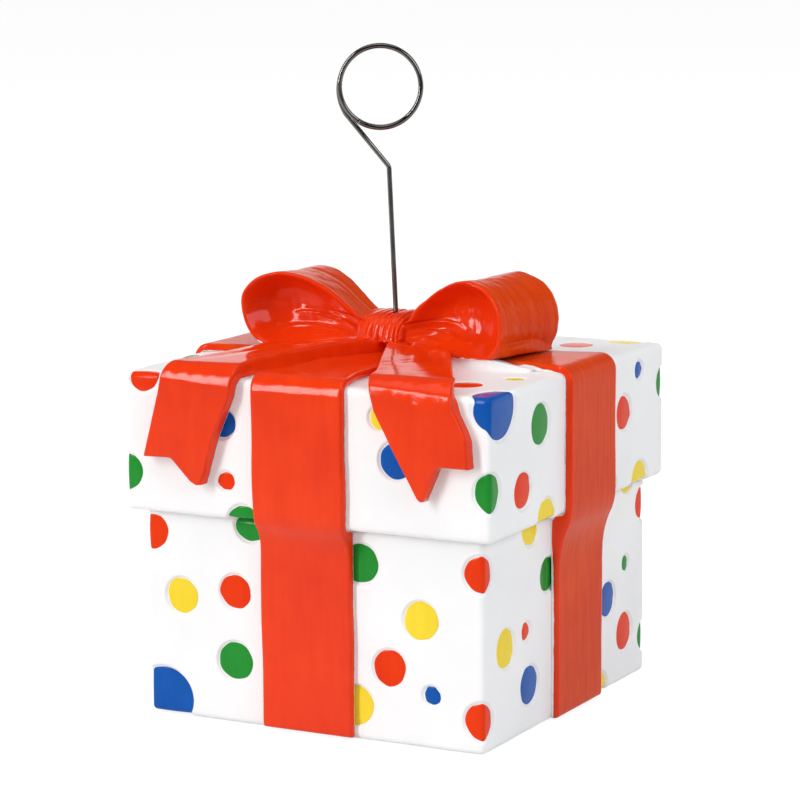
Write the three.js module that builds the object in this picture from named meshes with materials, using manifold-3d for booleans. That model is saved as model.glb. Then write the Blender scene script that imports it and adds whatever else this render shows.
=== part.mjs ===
// A balloon weight: a cast gift box with ribbon bands, a bow and a wire ring for balloon strings.
// Millimetres, +Z up. The origin is the centre of the underside. The front of the box faces -Y.
import * as THREE from 'three';
import { mergeVertices } from 'three/addons/utils/BufferGeometryUtils.js';
import { RoundedBoxGeometry } from 'three/addons/geometries/RoundedBoxGeometry.js';
import Module from 'manifold-3d';

// Box and lid
const lidSide = 80.8;
const lidOverhang = 2.9;
const boxHeight = 41.5;
const lidHeight = 27.8;
const edgeRound = 1.4;
const boxWall = 4;
const lidWall = 4.4;
const lidPlate = 5.2;

// Base pad, let into the underside of the box
const padThickness = 2;
const padLedge = 1.8;
const padClearance = 0.3;

// Sunk dots: the recess is a little larger than the painted dot
const dotDepth = 0.55;
const topDotDepth = 0.25;
const dotMargin = 0.5;
const dotSides = 15;

// Ribbon bands. Each is narrower on the lid top, by the taper on both sides.
const bandWidth = 20.4;
const rightBandWidth = 21.4;
const bandTaper = 2;
const bandTaperRun = 9;
const bandThickness = 1.6;
const bandRound = 0.8;
const bandBendEase = 0.4;
const bandFootGap = 0.5;
const frontBandOffset = -0.4;
const backBandOffset = 0.6;
const rightBandOffset = 2.5;
const leftBandOffset = -1;
const bandSeam = 4;
const bandHemHeight = 2.2;
const bandHemRound = 1.2;
const bandStepRun = 7;
const bandStepBulge = 0.75;

// Bow: two loops, a knot and two tails. An outline is the loop seen from the front, in
// shares of its reach and height: from the knot over the top, round the outer end and
// back underneath.
const loopLeft = {
  side: -1,
  reach: 26.8,
  flare: 0.9,
  backDrop: 1,
  outline: [
    [-0.12, 0.2], [-0.12, 0.34], [0, 0.42], [0.1, 0.54], [0.26, 0.765], [0.41, 0.905],
    [0.575, 0.985], [0.7, 0.98], [0.865, 0.885], [0.975, 0.7], [0.996, 0.5], [0.96, 0.28],
    [0.88, 0.1], [0.77, 0], [0.6, 0], [0.3, 0.06], [0, 0.12],
  ],
};
const loopRight = {
  side: 1,
  reach: 24.2,
  flare: 1.3,
  backDrop: 0.3,
  outline: [
    [-0.12, 0.2], [-0.12, 0.34], [-0.02, 0.4], [0.08, 0.585], [0.25, 0.775], [0.43, 0.925],
    [0.6, 1], [0.71, 1], [0.866, 0.89], [0.97, 0.68], [1.006, 0.44], [0.985, 0.2],
    [0.93, 0.06], [0.84, 0], [0.6, 0], [0.4, 0.03], [0.2, 0.08], [0, 0.13],
  ],
};
const loopHeight = 15.6;
const loopHalfWidth = 11;
const loopRootHalfWidth = 6.4;
const loopBackHalfWidth = 4.2;
const loopWebShare = 0.4;
const loopRootInset = 1;
const loopSpread = 4.2;
const loopSeat = 0.05;
const bowMiddle = -0.5;
const bowOffset = 0.8;
const knotWidth = 10.2;
const knotOffset = -1.7;
const knotHeight = 7.8;
const knotDepth = 15;
const knotPleats = 5;
const knotSides = 20;
const pleatHeight = 0.28;
const knotShoulder = 0.9;
const knotWaist = 0.25;
const tailThickness = 2.9;
const tailCrown = 2;
const tailRound = 1.1;
const tailWidth = 15;
const tailDrop = 16.2;
const tailBendEase = 0.9;
const castGap = 0.3;
const seatGap = 0.5;

// Wire clip
const wireDiameter = 1;
const stemClearance = 0.3;
const stemSocket = 3;
const stemEntry = [-0.7, -1];
const stemLean = 1.85;
const stemRise = 28.9;
const stemBendRadius = 1.6;
const ringTurn = 28;
const ringRadius = 8.05;
const ringStartRadius = 8.8;
const ringStartSpan = 75;
const ringSweep = 703;
const ringPitch = 1.5;
const ringRise = 44.9;
const ringShift = -2.4;

// Sizes that follow from the ones above
const lidHalf = lidSide / 2;
const boxHalf = lidHalf - lidOverhang;
const boxHollow = boxHalf - boxWall;
const lidTop = boxHeight + lidHeight;
const bandTop = lidTop + bandThickness;
const knotTop = bandTop + knotHeight;
const loopFoot = bandTop + loopSeat;
const radians = THREE.MathUtils.degToRad;
const { lerp, smoothstep, clamp } = THREE.MathUtils;

// Painted dots: the face, the place across it and up it, and the painted radius in mm.
// Across runs from -1 to 1 between the edges of the face, and up from 0 to 1. On the
// lid top, both run from -1 to 1.
const lidDots = [
  ['front', -0.99, 0.277, 3.65], ['front', -0.874, 0.989, 3.3], ['front', -0.443, 0.683, 2.95],
  ['front', -0.423, 0.273, 1.8], ['front', 0.418, 0.809, 2.1], ['front', 0.505, 0.525, 3.5],
  ['front', -0.332, -0.007, 3.3], ['right', -0.985, 0.353, 3.7], ['right', -0.891, 0.932, 6.15],
  ['right', -0.651, 0.284, 3.5], ['right', -0.455, 0.709, 3.9], ['right', -0.391, 0.04, 3.7],
  ['right', 0.507, 0.576, 3.45], ['right', 0.691, 0.853, 1.75], ['right', 0.705, 0.032, 3.8],
  ['right', 0.361, 0.083, 2.2], ['right', 0.99, 0.709, 3.1], ['top', 0.698, -0.651, 3.4],
  ['top', 0.837, -0.403, 1.9], ['top', 0.624, 0.738, 3.4], ['top', 0.804, 0.98, 4],
  ['top', -0.98, -0.431, 2.6], ['top', -0.668, 0.52, 3.4], ['top', -0.421, 0.767, 2.2],
  ['top', -0.866, 0.891, 3.4], ['back', -0.743, 0.737, 3.4], ['back', -0.52, 0.324, 2.2],
  ['back', -0.817, 0.18, 3.1], ['back', -0.361, 0.755, 1.9], ['back', 0.458, 0.234, 3.5],
  ['back', 0.668, 0.665, 3.8], ['back', 0.829, 0.252, 2], ['left', -0.668, 0.719, 3.6],
  ['left', -0.483, 0.306, 2.1], ['left', -0.718, 0.162, 2.9], ['left', 0.384, 0.522, 3.5],
  ['left', 0.644, 0.737, 2], ['left', 0.718, 0.27, 3.7],
];
const boxDots = [
  ['front', -0.965, 0.889, 3.65], ['front', -0.781, 0.593, 3.5], ['front', -0.901, 0.077, 6.4],
  ['front', -0.453, 0.639, 3.4], ['front', -0.461, 0.304, 3.75], ['front', -0.357, 0.971, 3.4],
  ['front', 0.256, 0.166, 3.9], ['front', 0.291, 0.841, 3.85], ['front', 0.459, 0.361, 3.5],
  ['front', 0.64, 0.6, 3.7], ['front', 0.699, 0.255, 1.75], ['front', 0.981, 0.843, 3.6],
  ['front', 0.984, 0.157, 3.7], ['right', -0.744, 0.455, 3.75], ['right', -0.504, 0.492, 1.8],
  ['right', -0.464, 0.227, 3.85], ['right', -0.245, 0.716, 3.3], ['right', -0.453, 0.973, 3.4],
  ['right', 0.515, 0.453, 3.5], ['right', 0.736, 0.251, 3.8], ['right', 0.747, 0.598, 1.5],
  ['right', 0.757, 1.036, 3.4], ['right', 0.971, 0.867, 3.3], ['right', 1.003, 0.186, 3.2],
  ['right', 0.416, 0.024, 3.4], ['back', -0.773, 0.675, 3.7], ['back', -0.507, 0.337, 3.4],
  ['back', -0.8, 0.217, 2], ['back', 0.467, 0.747, 3.6], ['back', 0.693, 0.422, 3.8],
  ['back', 0.453, 0.217, 2], ['left', -0.693, 0.795, 2.1], ['left', -0.533, 0.494, 3.8],
  ['left', -0.787, 0.241, 3.3], ['left', 0.453, 0.663, 3.4], ['left', 0.76, 0.747, 3.6],
  ['left', 0.667, 0.289, 3.9],
];

const wasm = await Module();
wasm.setup();

// A solid from any closed geometry.
function solidOf(geometry) {
  const plain = geometry.clone();
  plain.deleteAttribute('normal');
  plain.deleteAttribute('uv');
  const merged = mergeVertices(plain, 1e-4);
  return new wasm.Manifold(new wasm.Mesh({
    numProp: 3,
    vertProperties: Float32Array.from(merged.attributes.position.array),
    triVerts: Uint32Array.from(merged.index.array),
  }));
}

// The geometry of a solid.
function geometryOf(solid) {
  const mesh = solid.getMesh();
  const geometry = new THREE.BufferGeometry();
  geometry.setAttribute('position', new THREE.BufferAttribute(new Float32Array(mesh.vertProperties), 3));
  geometry.setIndex(Array.from(mesh.triVerts));
  return geometry;
}

// A plain box between two corners.
function blockBetween(low, high) {
  const block = new THREE.BoxGeometry(high[0] - low[0], high[1] - low[1], high[2] - low[2]);
  block.translate((low[0] + high[0]) / 2, (low[1] + high[1]) / 2, (low[2] + high[2]) / 2);
  return solidOf(block);
}

// A square block with rounded edges, standing on the height bottom.
function roundedBlock({ half, bottom, top }, round) {
  const block = new RoundedBoxGeometry(2 * half, 2 * half, top - bottom, 2, round);
  block.translate(0, 0, (bottom + top) / 2);
  return solidOf(block);
}

// Where a dot lies on a block, and the axis its disc faces.
function dotPlace(face, across, up, { half, bottom, top }) {
  const u = across * half;
  const z = lerp(bottom, top, up);
  if (face === 'front') return { at: [u, -half, z], tilt: 'x' };
  if (face === 'back') return { at: [u, half, z], tilt: 'x' };
  if (face === 'right') return { at: [half, u, z], tilt: 'z' };
  if (face === 'left') return { at: [-half, u, z], tilt: 'z' };
  return { at: [u, up * half, top], tilt: 'none' };
}

// One ball for each dot. Each ball takes away the skin of the block and leaves its
// core, so a dot on an edge wraps round it at an even depth.
function dotBalls(dots, size) {
  return dots.map(([face, across, up, radius]) => {
    const { at, tilt } = dotPlace(face, across, up, size);
    const ball = new THREE.SphereGeometry(radius + dotMargin, dotSides, 8);
    ball.rotateX(Math.PI / 2);
    if (tilt === 'x') ball.rotateX(Math.PI / 2);
    if (tilt === 'z') ball.rotateY(Math.PI / 2);
    ball.translate(...at);
    return solidOf(ball);
  });
}

// A rounded block with the dots sunk into its skin, shallower on the top. block is what
// the skin belongs to, and size is the face that the dots are laid out on.
function dottedBlock(block, dots, size) {
  const core = {
    half: block.half - dotDepth,
    bottom: block.bottom + dotDepth,
    top: block.top - topDotDepth,
  };
  const balls = wasm.Manifold.union(dotBalls(dots, size));
  const cutters = balls.subtract(roundedBlock(core, edgeRound - dotDepth));
  return roundedBlock(block, edgeRound).subtract(cutters);
}

// The lower box: a square shell, open at both ends, with a rebate for the pad. It is
// made too tall and trimmed, so that its upper edge is sharp under the lid.
function buildBox() {
  const spare = 2 * lidOverhang;
  const size = { half: boxHalf, bottom: 0, top: boxHeight };
  const tall = dottedBlock({ ...size, top: boxHeight + spare }, boxDots, size);
  const trim = blockBetween([-lidSide, -lidSide, boxHeight], [lidSide, lidSide, boxHeight + 2 * spare]);
  const hollow = blockBetween([-boxHollow, -boxHollow, -1], [boxHollow, boxHollow, boxHeight + 1]);
  const seat = boxHollow + padLedge;
  const rebate = blockBetween([-seat, -seat, -1], [seat, seat, padThickness]);
  return tall.subtract(trim).subtract(hollow).subtract(rebate);
}

// The lid: a hollow cap that overhangs the box, with a blind socket for the stem.
function buildLid() {
  const size = { half: lidHalf, bottom: boxHeight, top: lidTop };
  const inside = lidHalf - lidWall;
  const shelf = boxHeight + boxWall;
  const mouth = blockBetween([-boxHollow, -boxHollow, boxHeight - 1], [boxHollow, boxHollow, shelf + 1]);
  const hollow = blockBetween([-inside, -inside, shelf], [inside, inside, lidTop - lidPlate]);
  return dottedBlock(size, lidDots, size).subtract(mouth).subtract(hollow).subtract(stemHole());
}

// The pad that closes the underside, clear of the rebate's sides.
function buildPad() {
  const half = boxHollow + padLedge - padClearance;
  return geometryOf(blockBetween([-half, -half, 0], [half, half, padThickness]));
}

// A closed slab from rows of cross-sections. Each row gives the two ends of its
// underside and of its upper side; the columns round off both long edges.
function slab(rows, columns) {
  const points = [];
  const faces = [];
  const count = columns.length;
  const push = (p) => points.push(p.x, p.y, p.z);
  rows.forEach((row) => {
    columns.forEach(({ across }) => push(row.under(across)));
    columns.forEach(({ across, lift }) => push(row.under(across).lerp(row.upper(across), lift)));
  });
  const under = (row, column) => row * 2 * count + column;
  const upper = (row, column) => (row * 2 + 1) * count + column;
  const quad = (a, b, c, d) => faces.push(a, b, c, a, c, d);
  for (let row = 0; row + 1 < rows.length; row += 1) {
    for (let column = 0; column + 1 < count; column += 1) {
      quad(upper(row, column), upper(row + 1, column), upper(row + 1, column + 1), upper(row, column + 1));
      quad(under(row, column), under(row, column + 1), under(row + 1, column + 1), under(row + 1, column));
    }
    quad(under(row, 0), under(row + 1, 0), upper(row + 1, 0), upper(row, 0));
    const end = count - 1;
    quad(upper(row, end), upper(row + 1, end), under(row + 1, end), under(row, end));
  }
  const last = rows.length - 1;
  for (let column = 0; column + 1 < count; column += 1) {
    quad(under(0, column), upper(0, column), upper(0, column + 1), under(0, column + 1));
    quad(under(last, column), under(last, column + 1), upper(last, column + 1), upper(last, column));
  }
  return closedGeometry(points, faces);
}

// A closed form from rings of equal count, with a fan over each end.
function loft(rings, firstCentre, lastCentre) {
  const points = [];
  const faces = [];
  const count = rings[0].length;
  rings.forEach((ring) => ring.forEach((p) => points.push(p.x, p.y, p.z)));
  const first = points.length / 3;
  points.push(...firstCentre.toArray(), ...lastCentre.toArray());
  const last = (rings.length - 1) * count;
  for (let i = 0; i < count; i += 1) {
    const next = (i + 1) % count;
    faces.push(first, next, i, first + 1, last + i, last + next);
    for (let ring = 0; ring + 1 < rings.length; ring += 1) {
      const a = ring * count;
      const b = a + count;
      faces.push(a + i, a + next, b + next, a + i, b + next, b + i);
    }
  }
  return closedGeometry(points, faces);
}

function closedGeometry(points, faces) {
  const geometry = new THREE.BufferGeometry();
  geometry.setAttribute('position', new THREE.Float32BufferAttribute(points, 3));
  geometry.setIndex(faces);
  const solid = solidOf(geometry);
  if (solid.volume() < 0) geometry.setIndex(faces.reverse());
  return geometry;
}

// Columns across a strip, with rounded upper edges.
function stripColumns(width, thickness, round, inner) {
  const reach = round / width;
  const drop = round / thickness;
  const edge = [
    { across: 0, lift: 1 - drop },
    { across: 0.3 * reach, lift: 1 - 0.3 * drop },
    { across: reach, lift: 1 },
  ];
  const middle = inner.map((across) => ({ across, lift: 1 }));
  const mirrored = edge.map(({ across, lift }) => ({ across: 1 - across, lift })).reverse();
  return [...edge, ...middle, ...mirrored];
}

// The path of a band over the lid edge and down the box, as pairs of points, outwards
// and up: one on the face that it lies on and one on its own outer face. Under the lid
// it turns in and runs down to the face of the box.
function bandPath(start) {
  const t = bandThickness;
  const outs = [start, lidHalf - bandTaperRun, lidHalf - bandTaperRun / 2];
  const path = outs.map((out) => ({ under: [out, lidTop], upper: [out, bandTop] }));
  const bend = [0, 30, 60, 90].map(radians);
  const innerRound = edgeRound - seatGap;
  const outerRound = edgeRound + t - bandBendEase;
  bend.forEach((angle) => path.push({
    under: [lidHalf - innerRound * (1 - Math.sin(angle)), lidTop - innerRound * (1 - Math.cos(angle))],
    upper: [lidHalf + t - outerRound * (1 - Math.sin(angle)), bandTop - outerRound * (1 - Math.cos(angle))],
  }));
  const run = boxHeight - bandStepRun;
  const shin = boxHalf + t;
  path.push({ under: [lidHalf, boxHeight + innerRound], upper: [lidHalf + t, boxHeight + bandHemHeight] });
  path.push({
    under: [lidHalf, boxHeight + 0.25 * innerRound],
    upper: [lidHalf + t - 0.3 * bandHemRound, boxHeight + 0.25 * innerRound],
  });
  path.push({
    under: [lidHalf - innerRound, boxHeight],
    upper: [lidHalf + t - bandHemRound, boxHeight - bandHemRound],
  });
  path.push({ under: [boxHalf, boxHeight], upper: [shin + bandStepBulge, lerp(boxHeight, run, 0.39)] });
  path.push({
    under: [boxHalf, lerp(boxHeight, run, 0.43)],
    upper: [shin + 0.2 * bandStepBulge, lerp(boxHeight, run, 0.66)],
  });
  path.push({ under: [boxHalf, lerp(boxHeight, run, 0.71)], upper: [shin, run] });
  path.push({ under: [boxHalf, bandFootGap], upper: [shin, bandFootGap] });
  return path;
}

// One band, or the room that it takes where it is grown sideways. The band is made
// toward +X and turned to its own side.
function buildBand({ start, offset, turn, width }, grow) {
  const rows = bandPath(start).map(({ under, upper }) => {
    const taper = bandTaper * (1 - smoothstep(upper[0], lidHalf - bandTaperRun, lidHalf));
    const side = (q) => (2 * q - 1) * (width / 2 - taper + grow);
    return {
      under: (q) => new THREE.Vector3(under[0], side(q), under[1]),
      upper: (q) => new THREE.Vector3(upper[0], side(q), upper[1]),
    };
  });
  const band = slab(rows, stripColumns(width, bandThickness, bandRound, []));
  band.translate(0, offset, 0);
  band.rotateZ(radians(turn));
  return solidOf(band);
}

// How far a loop's section is drawn in, and its share of the depth of the dish, from
// the middle of the dish, up its wall, over the thin rounded rim to the outer face.
const loopSections = [
  [0.18, 0.01], [0.4, 0.07], [0.58, 0.22], [0.72, 0.44], [0.82, 0.66], [0.9, 0.88],
  [0.95, 0.99], [0.98, 1], [1, 0.94],
];

// One loop: a wide teardrop barrel with a soft dish in the front and in the back. Where it
// is grown, to mark the room that it takes, the dishes are filled.
function buildLoop({ side, reach, flare, backDrop, outline }, grow) {
  const centre = new THREE.Vector3(0.58, 0.53, 0);
  const curve = new THREE.CatmullRomCurve3(outline.map(([u, v]) => new THREE.Vector3(u, v, 0)), true);
  const line = curve.getPoints(32).slice(0, 32);
  const root = bowMiddle + side * loopSpread;
  const halfWidth = (u, sign) => {
    const share = smoothstep(u, 0, 0.75);
    return lerp(sign < 0 ? loopRootHalfWidth : loopBackHalfWidth, loopHalfWidth, share);
  };
  const place = (p, shrink, share, sign) => {
    const u = centre.x + (p.x - centre.x) * shrink;
    const v = Math.max(0, centre.y + (p.y - centre.y) * shrink);
    const away = new THREE.Vector2(p.x - centre.x, p.y - centre.y).normalize().multiplyScalar(grow);
    const spread = 1 + (flare / reach) * (sign * share);
    return new THREE.Vector3(
      root + side * (u * reach * spread + loopRootInset + away.x),
      bowOffset + sign * (share * halfWidth(u, sign) + grow),
      loopFoot + v * (loopHeight - (sign > 0 ? backDrop * share : 0)) + away.y,
    );
  };
  const web = grow > 0 ? 1 : loopWebShare;
  const depth = ([shrink, share]) => [shrink, lerp(web, 1, share)];
  const half = (sign) => loopSections.map(depth)
    .map(([shrink, share]) => line.map((p) => place(p, shrink, share, sign)));
  const rings = [...half(-1), ...half(1).reverse()];
  const start = place(centre, 0, web, -1);
  const end = place(centre, 0, web, 1);
  return solidOf(loft(rings, start, end));
}

// The knot: a squat band wrapped round the roots of the loops, with pleats that
// run up its front and over its top. It is flat underneath.
function buildKnot(grow) {
  const steps = 5 * knotPleats;
  const middle = bandTop + knotHeight / 2;
  const rings = [];
  for (let i = 0; i <= steps; i += 1) {
    const along = i / steps;
    const pleat = grow ? pleatHeight : -pleatHeight * Math.cos(2 * Math.PI * knotPleats * along);
    const shoulder = knotShoulder * (1 - Math.min(1, 5 * along, 5 * (1 - along))) ** 2;
    const waist = knotWaist * Math.sin(Math.PI * along);
    const inset = shoulder + waist - pleat - grow;
    const x = knotOffset + (along - 0.5) * (knotWidth + 2 * grow);
    rings.push(knotRing(x, knotDepth / 2 - pleatHeight - inset, knotHeight / 2 - inset, middle));
  }
  const centre = (ring) => new THREE.Vector3(ring[0].x, bowOffset, middle);
  return solidOf(loft(rings, centre(rings[0]), centre(rings[steps])));
}

// One section of the knot, between a circle and a square, cut flat at the bands.
function knotRing(x, halfDepth, halfHeight, middle) {
  const ring = [];
  const bulge = (value) => Math.sign(value) * Math.abs(value) ** 0.72;
  for (let i = 0; i < knotSides; i += 1) {
    const angle = (2 * Math.PI * i) / knotSides;
    const y = bowOffset - halfDepth * bulge(Math.cos(angle));
    const z = middle + halfHeight * bulge(Math.sin(angle));
    ring.push(new THREE.Vector3(x, y, Math.max(z, bandTop)));
  }
  return ring;
}

// A value read off a short table of pairs, with straight steps between them.
function readTable(table, key) {
  const at = table.findIndex(([k]) => k >= key);
  if (at < 0) return table[table.length - 1][1];
  if (at === 0) return table[0][1];
  const [k0, v0] = table[at - 1];
  const [k1, v1] = table[at];
  return v0 + ((v1 - v0) * (key - k0)) / (k1 - k0);
}

// A tail: it leaves the knot, spreads over the lid top, bends over the front edge
// and hangs down with a notched end. left and right give the edges by the distance
// run from the knot: 0 at the knot, 1 at the lid edge, 2 at the end.
function buildTail({ left, right, end, crowns, columns }) {
  const rootY = bowOffset - knotDepth / 2 + 2;
  const edge = tailThickness;
  const rows = [];
  const addRow = (run, under, upper, droop) => {
    const x = (q) => lidHalf * lerp(readTable(left, run), readTable(right, run), q);
    const fall = (q) => -droop * (readTable(end, q) - 1);
    const crown = (q) => tailCrown * lerp(...crowns, q) * Math.cos((Math.PI / 2) * Math.min(run, 1));
    rows.push({
      under: (q) => new THREE.Vector3(x(q), under[0], under[1] + fall(q)),
      upper: (q) => new THREE.Vector3(x(q), upper[0], upper[1] + fall(q) + crown(q)),
    });
  };
  [0, 0.12, 0.25, 0.4, 0.55, 0.7, 0.85].forEach((run) => {
    const y = lerp(rootY, -lidHalf, run);
    addRow(run, [y, lidTop], [y, lidTop + edge], 0);
  });
  const innerRound = edgeRound - seatGap;
  const outerRound = edgeRound + edge - tailBendEase;
  [0, 30, 60, 90].map(radians).forEach((angle, i) => addRow(
    0.94 + 0.04 * i,
    [-lidHalf + innerRound * (1 - Math.sin(angle)), lidTop - innerRound * (1 - Math.cos(angle))],
    [
      -lidHalf - edge + outerRound * (1 - Math.sin(angle)),
      lidTop + edge - outerRound * (1 - Math.cos(angle)),
    ],
    0,
  ));
  const hang = lidTop - 3;
  [0.25, 0.5, 0.75, 1].forEach((share) => {
    const z = lerp(hang, lidTop - tailDrop, share);
    addRow(1.1 + 0.9 * share, [-lidHalf, z], [-lidHalf - edge, z], tailDrop * share);
  });
  return solidOf(slab(rows, stripColumns(tailWidth, edge, tailRound, columns)));
}

// Where the edges of the tails run, in shares of the lid's half side, how much of the
// crown the two edges have, and how low the notched ends reach, in shares of the drop.
const leftTail = {
  left: [
    [0, -0.322], [0.12, -0.52], [0.25, -0.589], [0.55, -0.614],
    [0.8, -0.658], [1, -0.728], [1.1, -0.757], [2, -0.847],
  ],
  right: [
    [0, -0.01], [0.25, -0.136], [0.55, -0.26], [0.8, -0.322],
    [1, -0.337], [1.1, -0.356], [1.5, -0.446], [2, -0.522],
  ],
  end: [[0, 1], [0.43, 0.99], [0.5, 1], [0.82, 1.26], [0.92, 1.3], [1, 1.29]],
  crowns: [0.1, 1],
  columns: [0.22, 0.43, 0.5, 0.66, 0.82],
};
const rightTail = {
  left: [
    [0, 0.027], [0.25, 0.104], [0.55, 0.218], [0.8, 0.317],
    [1, 0.386], [1.1, 0.416], [1.5, 0.515], [2, 0.649],
  ],
  right: [
    [0, 0.297], [0.12, 0.384], [0.25, 0.465], [0.55, 0.609], [0.8, 0.718],
    [1, 0.802], [1.1, 0.832], [1.5, 0.896], [2, 0.913],
  ],
  end: [[0, 1.2], [0.1, 1.26], [0.38, 0.84], [0.45, 0.82], [1, 0.82]],
  crowns: [1, 0.1],
  columns: [0.1, 0.24, 0.38, 0.45, 0.7],
};

// The direction of the stem, which leans to one side of the ring.
function stemFrame() {
  const across = new THREE.Vector3(Math.cos(radians(ringTurn)), Math.sin(radians(ringTurn)), 0);
  const up = new THREE.Vector3(0, 0, 1);
  const lean = radians(stemLean);
  const along = up.clone().multiplyScalar(Math.cos(lean)).addScaledVector(across, -Math.sin(lean));
  const entry = new THREE.Vector3(stemEntry[0], stemEntry[1], knotTop);
  const front = new THREE.Vector3().crossVectors(across, up);
  return { across, up, along, entry, front };
}

// The drilled hole: through the knot and blind in the lid.
function stemHole() {
  const { along, entry } = stemFrame();
  const bottom = lidTop - stemSocket;
  const length = knotTop + 4 - bottom;
  const radius = wireDiameter / 2 + stemClearance;
  const drill = new THREE.CylinderGeometry(radius, radius, length, 16);
  drill.rotateX(Math.PI / 2);
  drill.translate(0, 0, length / 2);
  drill.applyQuaternion(new THREE.Quaternion().setFromUnitVectors(new THREE.Vector3(0, 0, 1), along));
  const foot = entry.clone().addScaledVector(along, (bottom - knotTop) / along.z);
  drill.translate(foot.x, foot.y, foot.z);
  return solidOf(drill);
}

// The centre line of the wire, as points: stem, bend, slanted run and two turns.
function wirePoints() {
  const { across, up, along, entry, front } = stemFrame();
  const at = (side, rise, out) => entry.clone()
    .addScaledVector(across, side).addScaledVector(up, rise).addScaledVector(front, out);
  const depth = knotTop - (lidTop - stemSocket + stemClearance);
  const foot = entry.clone().addScaledVector(along, -depth / along.z);
  const corner = entry.clone().addScaledVector(along, stemRise);
  const points = [foot];
  const cornerSide = corner.clone().sub(entry).dot(across);
  const reach = new THREE.Vector2(ringShift - cornerSide, ringRise - (corner.z - entry.z));
  const heading = Math.atan2(-reach.x, reach.y) + Math.asin(ringStartRadius / reach.length());
  const away = across.clone().multiplyScalar(-Math.sin(heading)).addScaledVector(up, Math.cos(heading));
  const turn = Math.acos(along.dot(away));
  const cut = stemBendRadius * Math.tan(turn / 2);
  for (let i = 0; i <= 4; i += 1) {
    const t = i / 4;
    const a = corner.clone().addScaledVector(along, -cut * (1 - t));
    const b = corner.clone().addScaledVector(away, cut * t);
    points.push(a.lerp(b, t));
  }
  const startAngle = Math.PI + heading;
  const steps = Math.round(ringSweep / 7.4);
  for (let i = 0; i <= steps; i += 1) {
    const swept = (ringSweep * i) / steps;
    const settle = Math.max(0, 1 - swept / ringStartSpan) ** 2;
    const radius = ringRadius + (ringStartRadius - ringRadius) * settle;
    const angle = startAngle - radians(swept);
    const out = (ringPitch * swept) / 360;
    points.push(at(ringShift + radius * Math.cos(angle), ringRise + radius * Math.sin(angle), out));
  }
  return points;
}

// A path that runs through given points in even steps of its parameter.
class StationPath extends THREE.Curve {
  constructor(points) {
    super();
    this.points = points;
  }

  getPoint(t) {
    const place = clamp(t, 0, 1) * (this.points.length - 1);
    const low = Math.min(Math.floor(place), this.points.length - 2);
    return this.points[low].clone().lerp(this.points[low + 1], place - low);
  }

  getUtoTmapping(u) {
    return u;
  }
}

// The wire, one unbroken round rod.
function buildWire() {
  const points = wirePoints();
  const section = new THREE.Shape();
  const sides = 8;
  for (let i = 0; i < sides; i += 1) {
    const angle = (2 * Math.PI * i) / sides;
    const place = [(wireDiameter / 2) * Math.cos(angle), (wireDiameter / 2) * Math.sin(angle)];
    if (i === 0) section.moveTo(...place);
    else section.lineTo(...place);
  }
  const steps = points.length - 1;
  const extrudePath = new StationPath(points);
  const rod = new THREE.ExtrudeGeometry(section, { steps, extrudePath, bevelEnabled: false });
  reportWireGap(points);
  return rod;
}

// The least gap between turns of the wire, measured on its centre line.
function reportWireGap(points) {
  let least = Infinity;
  points.forEach((p, i) => points.forEach((q, j) => {
    if (j > i + 12) least = Math.min(least, p.distanceTo(q) - wireDiameter);
  }));
  console.log(`wire: least gap between turns ${least.toFixed(2)} mm`);
}

// Materials
const white = new THREE.MeshStandardMaterial({ color: '#f3f1ec', roughness: 0.45, metalness: 0 });
const red = new THREE.MeshStandardMaterial({ color: '#dd2d17', roughness: 0.3, metalness: 0 });
const felt = new THREE.MeshStandardMaterial({ color: '#2a2a2a', roughness: 0.95, metalness: 0 });
const steel = new THREE.MeshStandardMaterial({ color: '#4a4743', roughness: 0.28, metalness: 1 });

const balloonWeight = new THREE.Group();
function addPiece(name, geometry, material) {
  const mesh = new THREE.Mesh(geometry, material);
  mesh.name = name;
  balloonWeight.add(mesh);
}

const knotRoom = buildKnot(castGap);
const leftRoom = buildLoop(loopLeft, castGap);
const rightRoom = buildLoop(loopRight, castGap);
const bowRoom = knotRoom.add(leftRoom).add(rightRoom);
// The bands over the front and the back pass under the knot, and the other two end beside them.
const crossing = bandWidth / 2 - bandTaper;
const rightStart = crossing + Math.max(frontBandOffset, backBandOffset);
const leftStart = crossing - Math.min(frontBandOffset, backBandOffset);
const bandShapes = {
  ribbon_front: { start: -bandSeam, offset: frontBandOffset, turn: -90, width: bandWidth },
  ribbon_back: { start: bandSeam, offset: -backBandOffset, turn: 90, width: bandWidth },
  ribbon_right: { start: rightStart, offset: rightBandOffset, turn: 0, width: rightBandWidth },
  ribbon_left: { start: leftStart, offset: -leftBandOffset, turn: 180, width: bandWidth },
};
// The room that the bands take on the lid top, for the tails that are laid over them.
const { ribbon_front: frontShape, ribbon_right: rightShape, ribbon_left: leftShape } = bandShapes;
const bandRoom = buildBand(frontShape, castGap)
  .add(buildBand(rightShape, castGap))
  .add(buildBand(leftShape, castGap));

addPiece('box_body', geometryOf(buildBox()), white);
addPiece('box_lid', geometryOf(buildLid()), white);
Object.entries(bandShapes).forEach(([name, shape]) => {
  addPiece(name, geometryOf(buildBand(shape, 0).subtract(stemHole())), red);
});
addPiece('bow_loop_left', geometryOf(buildLoop(loopLeft, 0).subtract(knotRoom)), red);
addPiece('bow_loop_right', geometryOf(buildLoop(loopRight, 0).subtract(knotRoom)), red);
addPiece('bow_knot', geometryOf(buildKnot(0).subtract(stemHole())), red);
addPiece('tail_left', geometryOf(buildTail(leftTail).subtract(bowRoom).subtract(bandRoom)), red);
addPiece('tail_right', geometryOf(buildTail(rightTail).subtract(bowRoom).subtract(bandRoom)), red);
addPiece('wire_clip', buildWire(), steel);
addPiece('base_pad', buildPad(), felt);

export default balloonWeight;
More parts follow.
